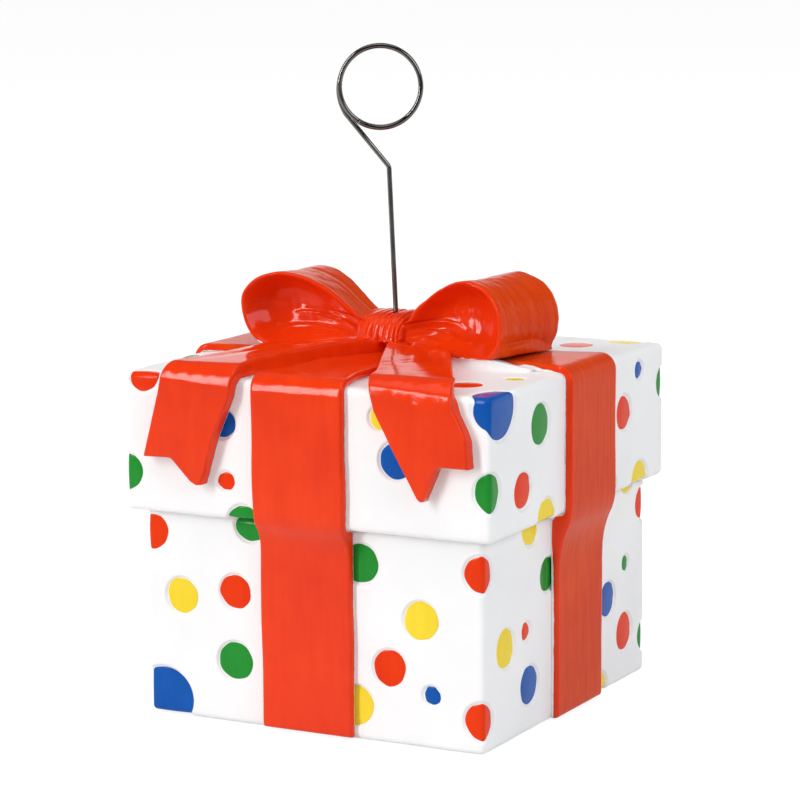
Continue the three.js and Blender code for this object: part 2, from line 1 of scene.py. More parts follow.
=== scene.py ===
"""Looks of the balloon weight: a painted cast gift box with ribbon, bow and wire ring.

Everything is built in millimetres in the part's own frame and scaled once, by MM."""
from math import acos, asin, atan2, cos, exp, pi, radians, sin, tan

import bpy
import numpy as np
from mathutils import Matrix, Vector
from numpy.linalg import norm

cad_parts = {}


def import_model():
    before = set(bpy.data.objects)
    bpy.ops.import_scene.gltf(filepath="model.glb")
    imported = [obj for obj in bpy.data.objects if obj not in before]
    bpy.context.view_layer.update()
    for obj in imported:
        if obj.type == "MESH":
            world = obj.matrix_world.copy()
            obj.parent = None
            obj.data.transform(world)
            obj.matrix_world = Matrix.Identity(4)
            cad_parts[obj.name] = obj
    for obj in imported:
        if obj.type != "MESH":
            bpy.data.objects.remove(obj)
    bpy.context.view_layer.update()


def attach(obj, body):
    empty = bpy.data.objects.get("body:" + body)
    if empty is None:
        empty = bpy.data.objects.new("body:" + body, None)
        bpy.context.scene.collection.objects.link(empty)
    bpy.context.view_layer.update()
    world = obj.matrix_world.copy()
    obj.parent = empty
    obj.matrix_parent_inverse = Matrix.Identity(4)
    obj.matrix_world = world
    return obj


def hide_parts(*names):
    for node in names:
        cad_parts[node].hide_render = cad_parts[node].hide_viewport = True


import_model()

MM = 0.001

# Sizes of the casting, as in the part's source
LID_HALF = 40.4
BOX_HALF = 37.5
BOX_TOP = 41.5
LID_TOP = 69.3
EDGE = 1.4
BAND_WIDTH = 20.4
BAND_THICK = 1.6
BAND_TOP = LID_TOP + BAND_THICK
TAIL_THICK = 2.9
TAIL_DROP = 16.2
TAIL_CROWN = 2.0
BAND_TAPER = 2.0
KNOT_HEIGHT = 7.8
LOOP_HEIGHT = 15.6
LOOP_FOOT = BAND_TOP + 0.05
KNOT_TOP = BAND_TOP + KNOT_HEIGHT
BOW_X = -0.5
BOW_Y = 0.8
KNOT_X = -1.4
KNOT_WIDTH = 10.9
KNOT_DEPTH = 15.0
WIRE = 1.0
PAD_HALF = 35.0
PAD_TOP = 2.0
PAD_EDGE = 0.4
# Inside radius of a ribbon where it bends over the lid's edge
BEND_INSIDE = EDGE - 0.25


def smooth(a, b, x):
    """Rises softly from 0 to 1 while x goes from a to b."""
    t = np.clip((np.asarray(x, float) - a) / (b - a), 0, 1)
    return t * t * (3 - 2 * t)


def lerp(a, b, t):
    """The value at the share t of the way from a to b."""
    return a + (b - a) * t


def lumps(p, scale, seed):
    """A soft seeded unevenness from -1 to 1 at the points p, with lumps about scale mm across."""
    rng = np.random.default_rng(seed)
    count = 7
    total = np.zeros(p.shape[:-1])
    for _ in range(count):
        way = rng.normal(size=3)
        way *= rng.uniform(0.7, 1.5) * 2 * pi / (scale * norm(way))
        total += np.sin(p @ way + rng.uniform(0, 2 * pi))
    return total / count * 1.6


def placed(name, data):
    """A new object with the given mesh, light or camera."""
    obj = bpy.data.objects.new(name, data)
    bpy.context.scene.collection.objects.link(obj)
    return obj


def piece(name, verts, faces, materials, node, body="casting", paint=None, indices=None):
    """One smooth-shaded mesh that stands for a CAD node and rides on its body. paint is each
    point's distance in mm inside the paint's edge, and indices gives each face's material."""
    mesh = bpy.data.meshes.new(name)
    mesh.from_pydata((np.asarray(verts, float) * MM).tolist(), [], [list(map(int, f)) for f in faces])
    for material in materials:
        mesh.materials.append(material)
    mesh.polygons.foreach_set("use_smooth", [True] * len(mesh.polygons))
    if indices is not None:
        mesh.polygons.foreach_set("material_index", np.asarray(indices, np.int32))
    if paint is not None:
        edge = mesh.attributes.new("paint", "FLOAT", "POINT")
        edge.data.foreach_set("value", np.full(len(verts), paint, np.float32))
    mesh.validate()
    mesh.update()
    obj = placed(name, mesh)
    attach(obj, body)
    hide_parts(node)


# Materials

def tree_of(name):
    """A new material, its nodes and its main shader."""
    material = bpy.data.materials.new(name)
    material.use_nodes = True
    tree = material.node_tree
    return material, tree, tree.nodes["Principled BSDF"]


def link(value, socket):
    """Links a node's output to a socket, or sets the socket to a plain value."""
    if isinstance(value, bpy.types.NodeSocket):
        socket.id_data.links.new(value, socket)
    else:
        socket.default_value = value


def put(node, **values):
    """Sets the settings of those names, or else links or sets the inputs."""
    for key, value in values.items():
        if hasattr(node, key):
            setattr(node, key, value)
        else:
            link(value, node.inputs[key.replace("_", " ")])
    return node


def add(tree, kind, **values):
    return put(tree.nodes.new("ShaderNode" + kind), **values)


def noise(tree, scale, detail, roughness=0.55, stretch=None):
    """A noise in object space, of scale lumps per metre. stretch multiplies them on each axis."""
    where = add(tree, "TexCoord").outputs["Object"]
    if stretch is not None:
        where = add(tree, "Mapping", Vector=where, Scale=stretch).outputs["Vector"]
    return add(tree, "TexNoise", Vector=where, Scale=scale, Detail=detail, Roughness=roughness).outputs["Fac"]


def ranged(value, low, high, to_low, to_high):
    """The value, with its range from low to high spread over to_low to to_high."""
    return add(value.id_data, "MapRange", clamp=True, Value=value, From_Min=low, From_Max=high,
               To_Min=to_low, To_Max=to_high).outputs["Result"]


def maths(operation, a, b):
    """One calculation with two values, each a number or a node's output."""
    node = add((b if isinstance(a, float) else a).id_data, "Math", operation=operation)
    link(a, node.inputs[0])
    link(b, node.inputs[1])
    return node.outputs[0]


# A mix node's two inputs and its output, by what it mixes
MIX_SOCKETS = {"RGBA": (6, 7, 2), "FLOAT": (2, 3, 0)}


def mixed(factor, a, b, kind="RGBA"):
    """A blend from a to b, of colours or, where kind is FLOAT, of numbers."""
    node = add(factor.id_data, "Mix", data_type=kind, Factor=factor)
    first, second, result = MIX_SOCKETS[kind]
    link(a, node.inputs[first])
    link(b, node.inputs[second])
    return node.outputs[result]


def bumps(height, strength, depth):
    """The normals of a surface with bumps that are depth metres deep."""
    return add(height.id_data, "Bump", Strength=strength, Distance=depth, Height=height).outputs["Normal"]


WHITE = (0.90, 0.895, 0.89, 1)
WHITE_WORN = (0.85, 0.85, 0.855, 1)
RED = (0.83, 0.046, 0.003, 1)
RED_DEEP = (0.70, 0.030, 0.003, 1)
# The sides' red and its deeper stroke tone: a more orange copy of the ribbon's red. The brush strokes are real,
# and the shift paints the sheen and shade of the sides.
RED_SIDE_SHEEN = (0.74, 0.068, 0.004, 1)
RED_SIDE_SHEEN_STROKE = (0.62, 0.042, 0.003, 1)
STEEL_LIGHT = (0.20, 0.19, 0.178, 1)
STEEL_DARK = (0.12, 0.112, 0.105, 1)
FELT_DARK = (0.012, 0.012, 0.013, 1)
FELT_LIGHT = (0.05, 0.05, 0.052, 1)


def paint_material(name, colour, deep, ragged, gloss, level=0.25, grain=(1.0, 1.0, 0.16), brushed=0.0):
    """Satin white resin, and glossy paint wherever the attribute paint, in mm from the paint's
    edge, is above zero. ragged is how uneven the paint's edge is, in mm. grain says how much
    the brush strokes vary along each axis, and brushed how clearly they show."""
    material, tree, shader = tree_of(name)
    edge = add(tree, "Attribute", attribute_name="paint").outputs["Fac"]
    rough_edge = maths("MULTIPLY", maths("SUBTRACT", noise(tree, 620, 3), 0.5), 2 * ragged)
    painted = ranged(maths("ADD", edge, rough_edge), -0.04, 0.04, 0, 1)
    cloudy = noise(tree, 55, 4)
    strokes = noise(tree, lerp(420, 1100, brushed), 3, stretch=grain)
    white = mixed(ranged(cloudy, 0.35, 0.75, 0, 1), WHITE, WHITE_WORN)
    uneven = maths("MULTIPLY", strokes, lerp(0.5, 1.6, brushed))
    low = lerp(0.5, 0.75, brushed)
    thick = ranged(maths("ADD", cloudy, uneven), low, low + lerp(0.5, 0.9, brushed), 0, 1)
    # Paint gathers a little darker along its edge.
    rim = ranged(edge, 0.0, 0.35, 0.55, 0.0)
    paint = mixed(maths("MAXIMUM", thick, rim), colour, deep)
    dull = ranged(cloudy, 0.3, 0.7, 0.36, 0.46)
    shine = ranged(strokes, 0.3, 0.7, gloss, gloss + lerp(0.05, 0.14, brushed))
    fine = maths("MULTIPLY", noise(tree, 1500, 2), 0.2)
    ridges = maths("ADD", fine, maths("MULTIPLY", strokes, lerp(0.35, 0.8, brushed)))
    lumpy = maths("MULTIPLY", noise(tree, 430, 2), 1.1)
    height = maths("ADD", maths("ADD", ridges, lumpy), maths("MULTIPLY", painted, 1.1))
    put(shader, Base_Color=mixed(painted, white, paint), Roughness=mixed(painted, dull, shine, "FLOAT"),
        Normal=bumps(height, lerp(0.6, 0.42, brushed), 0.00006), IOR=1.46, Specular_IOR_Level=level)
    return material


def steel_material():
    """Dark drawn steel, a little patchy."""
    material, tree, shader = tree_of("dark_steel")
    patches = ranged(noise(tree, 260, 4), 0.35, 0.7, 0, 1)
    drawn = noise(tree, 1400, 2)
    put(shader, Base_Color=mixed(patches, STEEL_LIGHT, STEEL_DARK), Metallic=1,
        Roughness=ranged(drawn, 0.3, 0.7, 0.08, 0.16), Normal=bumps(drawn, 0.2, 0.00003))
    return material


def felt_material():
    """Nearly black felt with fine fibres."""
    material, tree, shader = tree_of("dark_felt")
    fibres = noise(tree, 1500, 5, 0.7)
    clumps = noise(tree, 180, 3)
    put(shader, Base_Color=mixed(fibres, FELT_DARK, FELT_LIGHT),
        Roughness=ranged(clumps, 0.3, 0.7, 0.85, 1.0), Normal=bumps(fibres, 0.8, 0.0002))
    return material


# The dots' paints: their colour, a deeper tone of it and how strongly they mirror
DOT_COLOURS = {
    "red": (RED, RED_DEEP, 0.1),
    "yellow": ((0.90, 0.70, 0.045, 1), (0.84, 0.60, 0.03, 1), 0.1),
    "blue": ((0.003, 0.100, 0.43, 1), (0.002, 0.070, 0.34, 1), 0.15),
    "green": ((0.016, 0.28, 0.030, 1), (0.011, 0.21, 0.022, 1), 0.15),
}
PLAIN = paint_material("white_resin", WHITE, WHITE, ragged=0.0, gloss=0.38)
DOT_PAINT = {key: paint_material("dot_" + key, colour, deep, ragged=0.05, gloss=0.1, level=level)
             for key, (colour, deep, level) in DOT_COLOURS.items()}
RIBBON = paint_material("ribbon_red", RED, RED_DEEP, ragged=0.16, gloss=0.08)
# The sides' paint: real brush strokes on a red that paints their sheen, mirroring little itself.
SIDE_RIBBON = paint_material("ribbon_red_brushed_painted_sheen", RED_SIDE_SHEEN, RED_SIDE_SHEEN_STROKE, ragged=0.16, gloss=0.13, level=0.06,
                             grain=(0.1, 1.0, 0.1), brushed=1.0)
STEEL = steel_material()
FELT = felt_material()


# Box and lid

# The painted dots on each face: colour, place across and up (on top: back), painted radius
LID_DOTS = {
    "front": [("green", -40, 49.2, 3.65), ("red", -35.3, 69, 3.3), ("blue", -17.9, 60.5, 2.95),
              ("red", -17.1, 49.1, 1.8), ("yellow", 16.9, 64, 2.1), ("blue", 20.4, 56.1, 3.5),
              ("green", -13.4, 41.3, 3.3)],
    "right": [("green", -39.8, 51.3, 3.7), ("blue", -35.7, 66.9, 6.1), ("red", -26.3, 49.4, 3.5),
              ("green", -18.4, 61.2, 3.9), ("yellow", -15.8, 42.6, 3.7), ("red", 20.5, 57.5, 3.45),
              ("blue", 27.9, 65.2, 1.75), ("yellow", 28.5, 42.4, 3.8), ("green", 14.6, 43.8, 2.2),
              ("green", 40, 61.2, 3.1)],
    "top": [("red", 28.2, -26.3, 3.4), ("yellow", 33.8, -16.3, 1.9), ("red", 25.2, 29.8, 3.4),
            ("yellow", 32.5, 39.6, 4), ("green", -39.6, -17.4, 2.6), ("yellow", -27, 21, 3.4),
            ("blue", -17, 31, 2.2), ("green", -35, 36, 3.4)],
    "back": [("red", -30, 62, 3.4), ("yellow", -21, 50.5, 2.2), ("blue", -33, 46.5, 3.1),
             ("green", -14.6, 62.5, 1.9), ("green", 18.5, 48, 3.5), ("yellow", 27, 60, 3.8),
             ("red", 33.5, 48.5, 2)],
    "left": [("blue", -27, 61.5, 3.6), ("red", -19.5, 50, 2.1), ("yellow", -29, 46, 2.9),
             ("red", 15.5, 56, 3.5), ("green", 26, 62, 2), ("blue", 29, 49, 3.7)],
}
BOX_DOTS = {
    "front": [("red", -36.2, 36.9, 3.65), ("yellow", -29.3, 24.6, 3.5), ("blue", -33.8, 3.2, 6.4),
              ("red", -17, 26.5, 3.4), ("green", -17.3, 12.6, 3.75), ("green", -13.4, 40.3, 3.4),
              ("yellow", 9.6, 6.9, 3.9), ("green", 10.9, 34.9, 3.85), ("red", 17.2, 15, 3.5),
              ("yellow", 24, 24.9, 3.7), ("blue", 26.2, 10.6, 1.75), ("red", 36.8, 35, 3.6),
              ("red", 36.9, 6.5, 3.7)],
    "right": [("yellow", -27.9, 18.9, 3.75), ("red", -18.9, 20.4, 1.8), ("blue", -17.4, 9.4, 3.85),
              ("green", -9.2, 29.7, 3.3), ("yellow", -17, 40.4, 3.4), ("blue", 19.3, 18.8, 3.5),
              ("red", 27.6, 10.4, 3.8), ("green", 28, 24.8, 1.5), ("yellow", 28.4, 43, 3.4),
              ("red", 36.4, 36, 3.3), ("green", 37.6, 7.7, 3.2), ("yellow", 15.6, 1, 3.4)],
    "back": [("green", -29, 28, 3.7), ("red", -19, 14, 3.4), ("blue", -30, 9, 2), ("blue", 17.5, 31, 3.6),
             ("yellow", 26, 17.5, 3.8), ("green", 17, 9, 2)],
    "left": [("red", -26, 33, 2.1), ("green", -20, 20.5, 3.8), ("blue", -29.5, 10, 3.3),
             ("red", 17, 27.5, 3.4), ("yellow", 28.5, 31, 3.6), ("green", 25, 12, 3.9)],
}
DOT_DEPTH = 0.5
TOP_DOT_DEPTH = 0.2
DOT_MARGIN = 0.5
# The longest triangle edges: on a dot's rim, and far from any
FINE_EDGE = 0.26
COARSE_EDGE = 3.6
# The paint attribute well outside and well inside the paint
BARE, PAINTED = -2.0, 2.0


def dot_place(face, across, up, half, top):
    """The point of a dot's middle."""
    return {"front": (across, -half, up), "back": (across, half, up), "right": (half, across, up),
            "left": (-half, across, up), "top": (across, up, top)}[face]


def rounded(q, half, bottom, top, edge):
    """The points q of a sharp block, moved onto its rounded form, and their normals there."""
    inner = half - edge
    core = np.clip(q, [-inner, -inner, bottom + edge], [inner, inner, top - edge])
    away = q - core
    away /= np.maximum(norm(away, axis=-1, keepdims=True), 1e-9)
    return core + away * edge, away


def block_grid(half, bottom, top, edge, step):
    """A closed triangle grid over a sharp block, with lines where the rounding starts."""
    def lines(low, high):
        inner = np.linspace(low + edge, high - edge, max(2, round((high - low - 2 * edge) / step) + 1))
        ends = np.linspace(0, edge, 4)[:-1]
        return np.concatenate([low + ends, inner, (high - ends)[::-1]])

    axes = [lines(-half, half), lines(-half, half), lines(bottom, top)]
    index, verts, tris = {}, [], []

    def vert(p):
        key = tuple(round(float(c), 6) for c in p)
        if key not in index:
            index[key] = len(verts)
            verts.append(key)
        return index[key]

    for axis in range(3):
        a, b = axes[(axis + 1) % 3], axes[(axis + 2) % 3]
        for end in (0, -1):
            level = axes[axis][end]
            grid = np.array([[vert(np.roll((level, x, y), axis)) for y in b] for x in a])
            for i in range(len(a) - 1):
                for j in range(len(b) - 1):
                    p, q, r, s = grid[i, j], grid[i + 1, j], grid[i + 1, j + 1], grid[i, j + 1]
                    two = [(p, q, r), (p, r, s)] if (i + j) % 2 else [(p, q, s), (q, r, s)]
                    tris += two if end else [t[::-1] for t in two]
    return np.array(verts), np.array(tris)


def refine(verts, tris, place, size_at):
    """Halves the triangles' longest edges until each edge is as short as size_at asks."""
    for _ in range(12):
        at = place(verts)
        sides = np.stack([tris[:, [0, 1]], tris[:, [1, 2]], tris[:, [2, 0]]], 1)
        keys = np.sort(sides.reshape(-1, 2), 1)
        edges, back = np.unique(keys, axis=0, return_inverse=True)
        back = back.reshape(-1, 3)
        length = norm(at[edges[:, 0]] - at[edges[:, 1]], axis=1)
        marked = length > size_at((at[edges[:, 0]] + at[edges[:, 1]]) / 2)
        longest = np.argmax(length[back], 1)
        for _ in range(30):
            need = marked[back].any(1)
            pick = back[np.arange(len(tris)), longest]
            new = np.zeros_like(marked)
            new[pick[need]] = True
            if not (new & ~marked).any():
                break
            marked |= new
        if not marked.any():
            break
        number = np.full(len(edges), -1)
        number[marked] = len(verts) + np.arange(marked.sum())
        verts = np.concatenate([verts, (verts[edges[marked, 0]] + verts[edges[marked, 1]]) / 2])
        turn = (longest[:, None] + np.arange(3)) % 3
        rows = np.arange(len(tris))[:, None]
        a, b, c = tris[rows, turn].T
        # Triangle abc has new points m, k and n on its sides ab, bc and ca, or -1 for none.
        m, k, n = number[back[rows, turn]].T
        keep = m < 0
        out = [tris[keep]]
        for cond, parts in ((n >= 0, [(a, m, n), (n, m, c)]), (n < 0, [(a, m, c)]),
                            (k >= 0, [(m, b, k), (m, k, c)]), (k < 0, [(m, b, c)])):
            out += [np.stack(part, 1)[cond & ~keep] for part in parts]
        tris = np.concatenate(out)
    return verts, tris


def dotted_block(name, node, half, bottom, top, faces, seed):
    """A cast block with rounded edges and sunk round dots. Each dot is a ball round its
    centre, so that it wraps round an edge at an even depth."""
    rng = np.random.default_rng(seed)
    block = (half, bottom, top, EDGE)
    dots = [(colour, dot_place(face, across, up, half, top), radius)
            for face, spots in faces.items() for colour, across, up, radius in spots]
    centres = np.array([centre for _, centre, _ in dots], float)
    radii = np.array([radius for _, _, radius in dots])
    shift = rng.normal(0, 0.07, (len(dots), 3))
    waves = rng.uniform(0, 2 * pi, (len(dots), 4))

    def place(q):
        return rounded(q, *block)[0]

    def size_at(p):
        least = np.full(len(p), COARSE_EDGE)
        for c, r in zip(centres, radii):
            away = np.abs(norm(p - c, axis=1) - r - 0.1)
            least = np.minimum(least, FINE_EDGE + 0.42 * np.maximum(away - 0.62, 0))
        return least

    q, tris = refine(*block_grid(*block, 3.4), place, size_at)
    at, normal = rounded(q, *block)
    depth = np.zeros(len(at))
    paint = np.full(len(at), BARE)
    owner = np.full(len(at), -1)
    for i, (c, r) in enumerate(zip(centres, radii)):
        ring = norm(at - c, axis=1)
        away = at - c - shift[i]
        own = norm(away, axis=1)
        turn = np.arctan2(away @ [0.3, 0.2, 1.0], away @ [1.0, 0.8, -0.2])
        uneven = 0.09 * np.sin(2 * turn + waves[i, 0]) + 0.06 * np.sin(3 * turn + waves[i, 1])
        uneven += 0.035 * np.sin(7 * turn + waves[i, 2])
        edge = r + uneven - own
        full = lerp(DOT_DEPTH, TOP_DOT_DEPTH, np.clip(normal[:, 2], 0, 1) ** 2)
        sink = full * (1 - smooth(r + 0.02, r + DOT_MARGIN + 0.12, ring))
        # The paint has a thickness of its own, and a dot's middle swells a little.
        raised_by = 0.07 * smooth(-0.02, 0.22, edge) + 0.14 * np.clip(1 - (own / r) ** 2, 0, 1)
        depth = np.maximum(depth, np.where(ring < r + 1, sink - raised_by * (sink > 0.15), 0))
        near = edge > paint
        paint = np.where(near, edge, paint)
        owner = np.where(near, i, owner)
    dents = 0.05 + 0.05 * lumps(at, 16, seed + 5) + 0.025 * lumps(at, 5, seed + 6)
    at = at - normal * (depth + np.clip(dents, 0, 0.2))[:, None]
    at[:, 2] = np.maximum(at[:, 2], bottom)
    # Each triangle has the colour of the dot whose paint reaches it furthest.
    colours = list(DOT_PAINT)
    face_paint = paint[tris].max(1)
    face_owner = owner[tris[np.arange(len(tris)), np.argmax(paint[tris], 1)]]
    indices = [0 if edge < -0.8 else 1 + colours.index(dots[i][0]) for edge, i in zip(face_paint, face_owner)]
    piece(name, at, tris, [PLAIN, *DOT_PAINT.values()], node, paint=paint, indices=indices)


dotted_block("gift_box_cast", "box_body", BOX_HALF, 0.0, BOX_TOP, BOX_DOTS, 11)
dotted_block("gift_lid_cast", "box_lid", LID_HALF, BOX_TOP, LID_TOP, LID_DOTS, 23)


# Ribbon strips

def strip(under, upper, height):
    """A closed strip over the points under, as thick as height toward the points upper. Its
    side walls have rings at the levels. Also gives each point's height over the walls' foot."""
    levels = (0.14, 0.3, 0.6)
    rows, cols = height.shape
    base = rows * cols
    up = ((upper - under) / norm(upper - under, axis=2, keepdims=True)).reshape(-1, 3)
    under, height = under.reshape(-1, 3), height.reshape(-1)
    verts = [under + up * height[:, None], under]
    faces = []
    for r in range(rows - 1):
        for a in range(r * cols, r * cols + cols - 1):
            b = a + cols
            faces += [(a, b, b + 1, a + 1), (base + a, base + a + 1, base + b + 1, base + b)]
    grid = np.arange(base).reshape(rows, cols)
    rim = np.concatenate([grid[:, 0], grid[-1, 1:], grid[-2::-1, -1], grid[0, -2:0:-1]])
    loops = [rim + base]
    for i, level in enumerate(levels):
        verts.append(under[rim] + up[rim] * np.minimum(level, 0.96 * height[rim])[:, None])
        loops.append(np.arange(len(rim)) + 2 * base + i * len(rim))
    loops.append(rim)
    for low, high in zip(loops[:-1], loops[1:]):
        faces += zip(low, np.roll(low, -1), np.roll(high, -1), high)
    lift = [height, np.zeros(base)] + [np.full(len(rim), level) for level in levels]
    return np.concatenate(verts), faces, np.concatenate(lift)


def edge_fall(distance, fall):
    """Share of a strip's thickness at a distance from its edge, which is rounded over fall."""
    t = np.clip(distance / fall, 0, 1)
    return 1 - fall + fall * np.sqrt(np.maximum(1 - (1 - t) ** 2, 0))


def spaced(width, rim, inner):
    """Places across a strip, close together over its rounded rims."""
    edge = rim * (1 - np.cos(np.linspace(0, pi / 2, 7)))
    middle = np.linspace(rim, width - rim, inner + 2)[1:-1]
    return np.concatenate([edge, middle, (width - edge)[::-1]])


# A band's slope from the lid's side to the box's, on its underside and its upper side: places in
# from the lid's side and up from the lid's lower edge
SLOPE_BELOW = [(0, 1.6), (0.06, 0.8), (0.25, 0.42), (0.58, 0.15), (1.2, 0), (2, 0),
               (2.9, -0.6), (2.9, -2), (2.9, -3.4), (2.9, -5)]
SLOPE_ABOVE = [(0, 2.2), (0.08, 1.3), (0.35, 0.3), (0.75, -0.5), (1.3, -1.25), (1.75, -2), (2.15, -2.8),
               (2.5, -3.7), (2.74, -4.8), (2.86, -6)]
SLOPE_TOP = 2.2
SLOPE_DROP = 7.8
# A band's round foot: height over the table, and how far it draws in
BAND_FOOT = [(1.2, 0.05), (0.9, 0.14), (0.7, 0.28), (0.56, 0.5), (0.5, 0.8)]
# How far in from the lid's edge a band starts to widen
TAPER_RUN = 10.0


def bent(angle, out, top, radius):
    """A point out and up on the rounding of an edge, at an angle from its upper end."""
    return out - radius * (1 - sin(angle)), top - radius * (1 - cos(angle))


def band_path(start, drape):
    """A band's points out and up, each of its underside and its upper side. drape is how many
    times longer than the others its slope is."""
    t = BAND_THICK
    shin = BOX_HALF + t
    path = [((out, LID_TOP), (out, BAND_TOP)) for out in np.linspace(start, LID_HALF - 3, 14)]
    for angle in np.radians(np.linspace(0, 90, 13)):
        path.append((bent(angle, LID_HALF, LID_TOP, BEND_INSIDE),
                     bent(angle, LID_HALF + t, BAND_TOP, EDGE + t + 0.4)))
    for z in np.linspace(LID_TOP - 4, BOX_TOP + 3.2, 10):
        path.append(((LID_HALF, z), (LID_HALF + t, z)))
    for (less, low), (short, high) in zip(SLOPE_BELOW, SLOPE_ABOVE):
        high = SLOPE_TOP - (SLOPE_TOP - high) * drape
        path.append(((LID_HALF - less, BOX_TOP + low), (LID_HALF + t - short, BOX_TOP + high)))
    for z in np.linspace(BOX_TOP - 0.2 - SLOPE_DROP * drape, 1.6, 14):
        path.append(((BOX_HALF, z), (shin, z)))
    for z, less in BAND_FOOT:
        path.append(((BOX_HALF, z), (shin - less, z)))
    return path


def band_taper(out, width):
    """A band's share of its full width, by the distance out."""
    return 1 - 2 * BAND_TAPER / width * (1 - smooth(LID_HALF - TAPER_RUN, LID_HALF - 0.5, out))


def band(name, node, start, offset, turn, seed, width=BAND_WIDTH, bare=None, finish=RIBBON, drape=1.0):
    """A ribbon band over the lid's edge and down the box, made toward +X and turned. bare is
    how far out its near side wall on the lid is unpainted."""
    path = band_path(start, drape)
    across = spaced(width, 0.8, 12)
    under = np.empty((len(path), len(across), 3))
    upper = np.empty_like(under)
    for r, (low, high) in enumerate(path):
        place = (across - width / 2) * band_taper(high[0], width)
        for grid, (out, z) in ((under, low), (upper, high)):
            grid[r] = np.stack(np.broadcast_arrays(out, place, z), 1)
    # The edges waver a little, and always inward.
    along = np.concatenate([[0], np.cumsum(norm(np.diff(upper[:, 0], axis=0), axis=1))])
    for side in (-1, 1):
        waver = 0.16 + 0.16 * lumps(np.stack([along, 0 * along + 50 * side, 0 * along], 1), 17, seed)
        share = np.clip((across - width / 2) * side / (width / 2), 0, 1) ** 2
        for grid in (under, upper):
            grid[:, :, 1] -= side * np.clip(waver, 0, 0.4)[:, None] * share
    thick = norm(upper - under, axis=2)
    side = np.minimum(across, width - across)[None, :]
    height = edge_fall(side, 0.55) * thick
    sag = 0.035 + 0.035 * lumps(upper, 9, seed + 1) + 0.02 * lumps(upper, 3.5, seed + 2)
    height = height - np.clip(sag, 0, 0.15)
    verts, faces, lift = strip(under, upper, height)
    paint = lift - 0.17
    if bare is not None:
        near = smooth(0.9, 0.5, verts[:, 1] + width / 2 * band_taper(verts[:, 0], width))
        ragged = lift - 0.8 - 0.4 * lumps(verts, 3.0, seed + 3)
        paint = lerp(paint, np.minimum(paint, ragged), near * smooth(LID_HALF - 1, LID_HALF - 4, verts[:, 0]))
        paint = lerp(paint, -1.0, near * smooth(bare + 0.4, bare - 0.4, verts[:, 0]))
    # The brushed finish, with the painted sheen of the side bands, is on the broad side only, and the walls
    # beside it are glossy.
    broad = np.abs(verts[:, 1]) < width / 2 - 1.3
    verts[:, 1] += offset
    s, c = sin(radians(turn)), cos(radians(turn))
    spin = np.array([[c, s, 0], [-s, c, 0], [0, 0, 1]])
    indices = [int(broad[list(f)].any()) for f in faces]
    piece(name, verts @ spin, faces, [RIBBON, finish], node, paint=paint, indices=indices)


# Where the side bands start, at the edge of the front and back ones
CROSS = BAND_WIDTH / 2 - BAND_TAPER
band("band_front_paint", "ribbon_front", -4.0, -0.4, -90, 31)
band("band_back_paint", "ribbon_back", 4.0, -0.6, 90, 32)
band("band_right_paint", "ribbon_right", CROSS + 0.6, 2.5, 0, 33, width=21.4, bare=24.5, finish=SIDE_RIBBON,
     drape=1.6)
band("band_left_paint", "ribbon_left", CROSS + 0.4, 1.0, 180, 34, finish=SIDE_RIBBON)


# Tails

def table(rows, key):
    """A value read off a table along straight lines between its pairs."""
    keys, values = np.array(rows, float).T
    return np.interp(key, keys, values)


def soft_table(rows, key, reach=11, level_start=False):
    """A value read off a table along a line that is smoothed over reach 200ths to each side."""
    keys, values = np.array(rows, float).T
    fine = np.linspace(keys[0], keys[-1], 200)
    line = np.interp(fine, keys, values)
    kernel = np.hanning(2 * reach + 1)
    kernel /= kernel.sum()
    before = line[reach:0:-1]
    if not level_start:
        before = 2 * line[0] - before
    padded = np.concatenate([before, line, 2 * line[-1] - line[-2:-reach - 2:-1]])
    return np.interp(key, fine, np.convolve(padded, kernel, "valid"))


# A tail's shape: the places of its left and right edges by the run along it, which is 0 at the
# knot, 1 at the lid's edge and 2 at its end; how far it hangs down by the share across it;
# crown and outer bend radius at its two sides; where it leaves the knot; and its folds
LEFT_TAIL = {
    "left": [(0, -13), (0.12, -21), (0.22, -23.8), (0.55, -24.8), (0.8, -26.6), (1, -29.4), (1.1, -30.6),
             (2, -34.2)],
    "right": [(0, -0.4), (0.25, -5.5), (0.55, -10.5), (0.8, -13), (1, -13.6), (1.1, -14.4), (1.5, -18),
              (2, -21.1)],
    "end": [(0, 1), (0.43, 0.99), (0.5, 1), (0.82, 1.26), (0.92, 1.3), (1, 1.29)],
    "crowns": (0.1, 1), "bends": (3.3, 4.4), "gather": (-4.5, -6.5),
    "folds": [([(0, 0.5), (1, 0.15)], 0.10, -0.35, 0.5, 1.1),
              ([(0, 0.85), (1, 0.9)], 0.08, -0.3, 0.3, 0.9)],
}
RIGHT_TAIL = {
    "left": [(0, 1.1), (0.25, 4.2), (0.55, 8.8), (0.8, 12.8), (1, 15.6), (1.1, 16.8), (1.5, 20.8), (2, 26.2)],
    "right": [(0, 12), (0.12, 15.5), (0.25, 18.6), (0.55, 24.3), (0.8, 29.1), (1, 33.1), (1.1, 34.2),
              (1.5, 36.6), (2, 37)],
    "end": [(0, 1.2), (0.1, 1.26), (0.38, 0.84), (0.45, 0.82), (1, 0.82)],
    "crowns": (1, 0.45), "bends": (3.4, 5.8), "gather": (3.0, -6.8),
    "folds": [([(0, 0.35), (1, 0.3)], 0.09, -0.35, 0.4, 0.9),
              ([(0, 0.7), (1, 0.75)], 0.10, -0.3, 0.3, 0.8)],
}
# A tail's bend over the lid's edge, as its start and share of the run
BEND_START, BEND_RUN = 0.94, 0.12


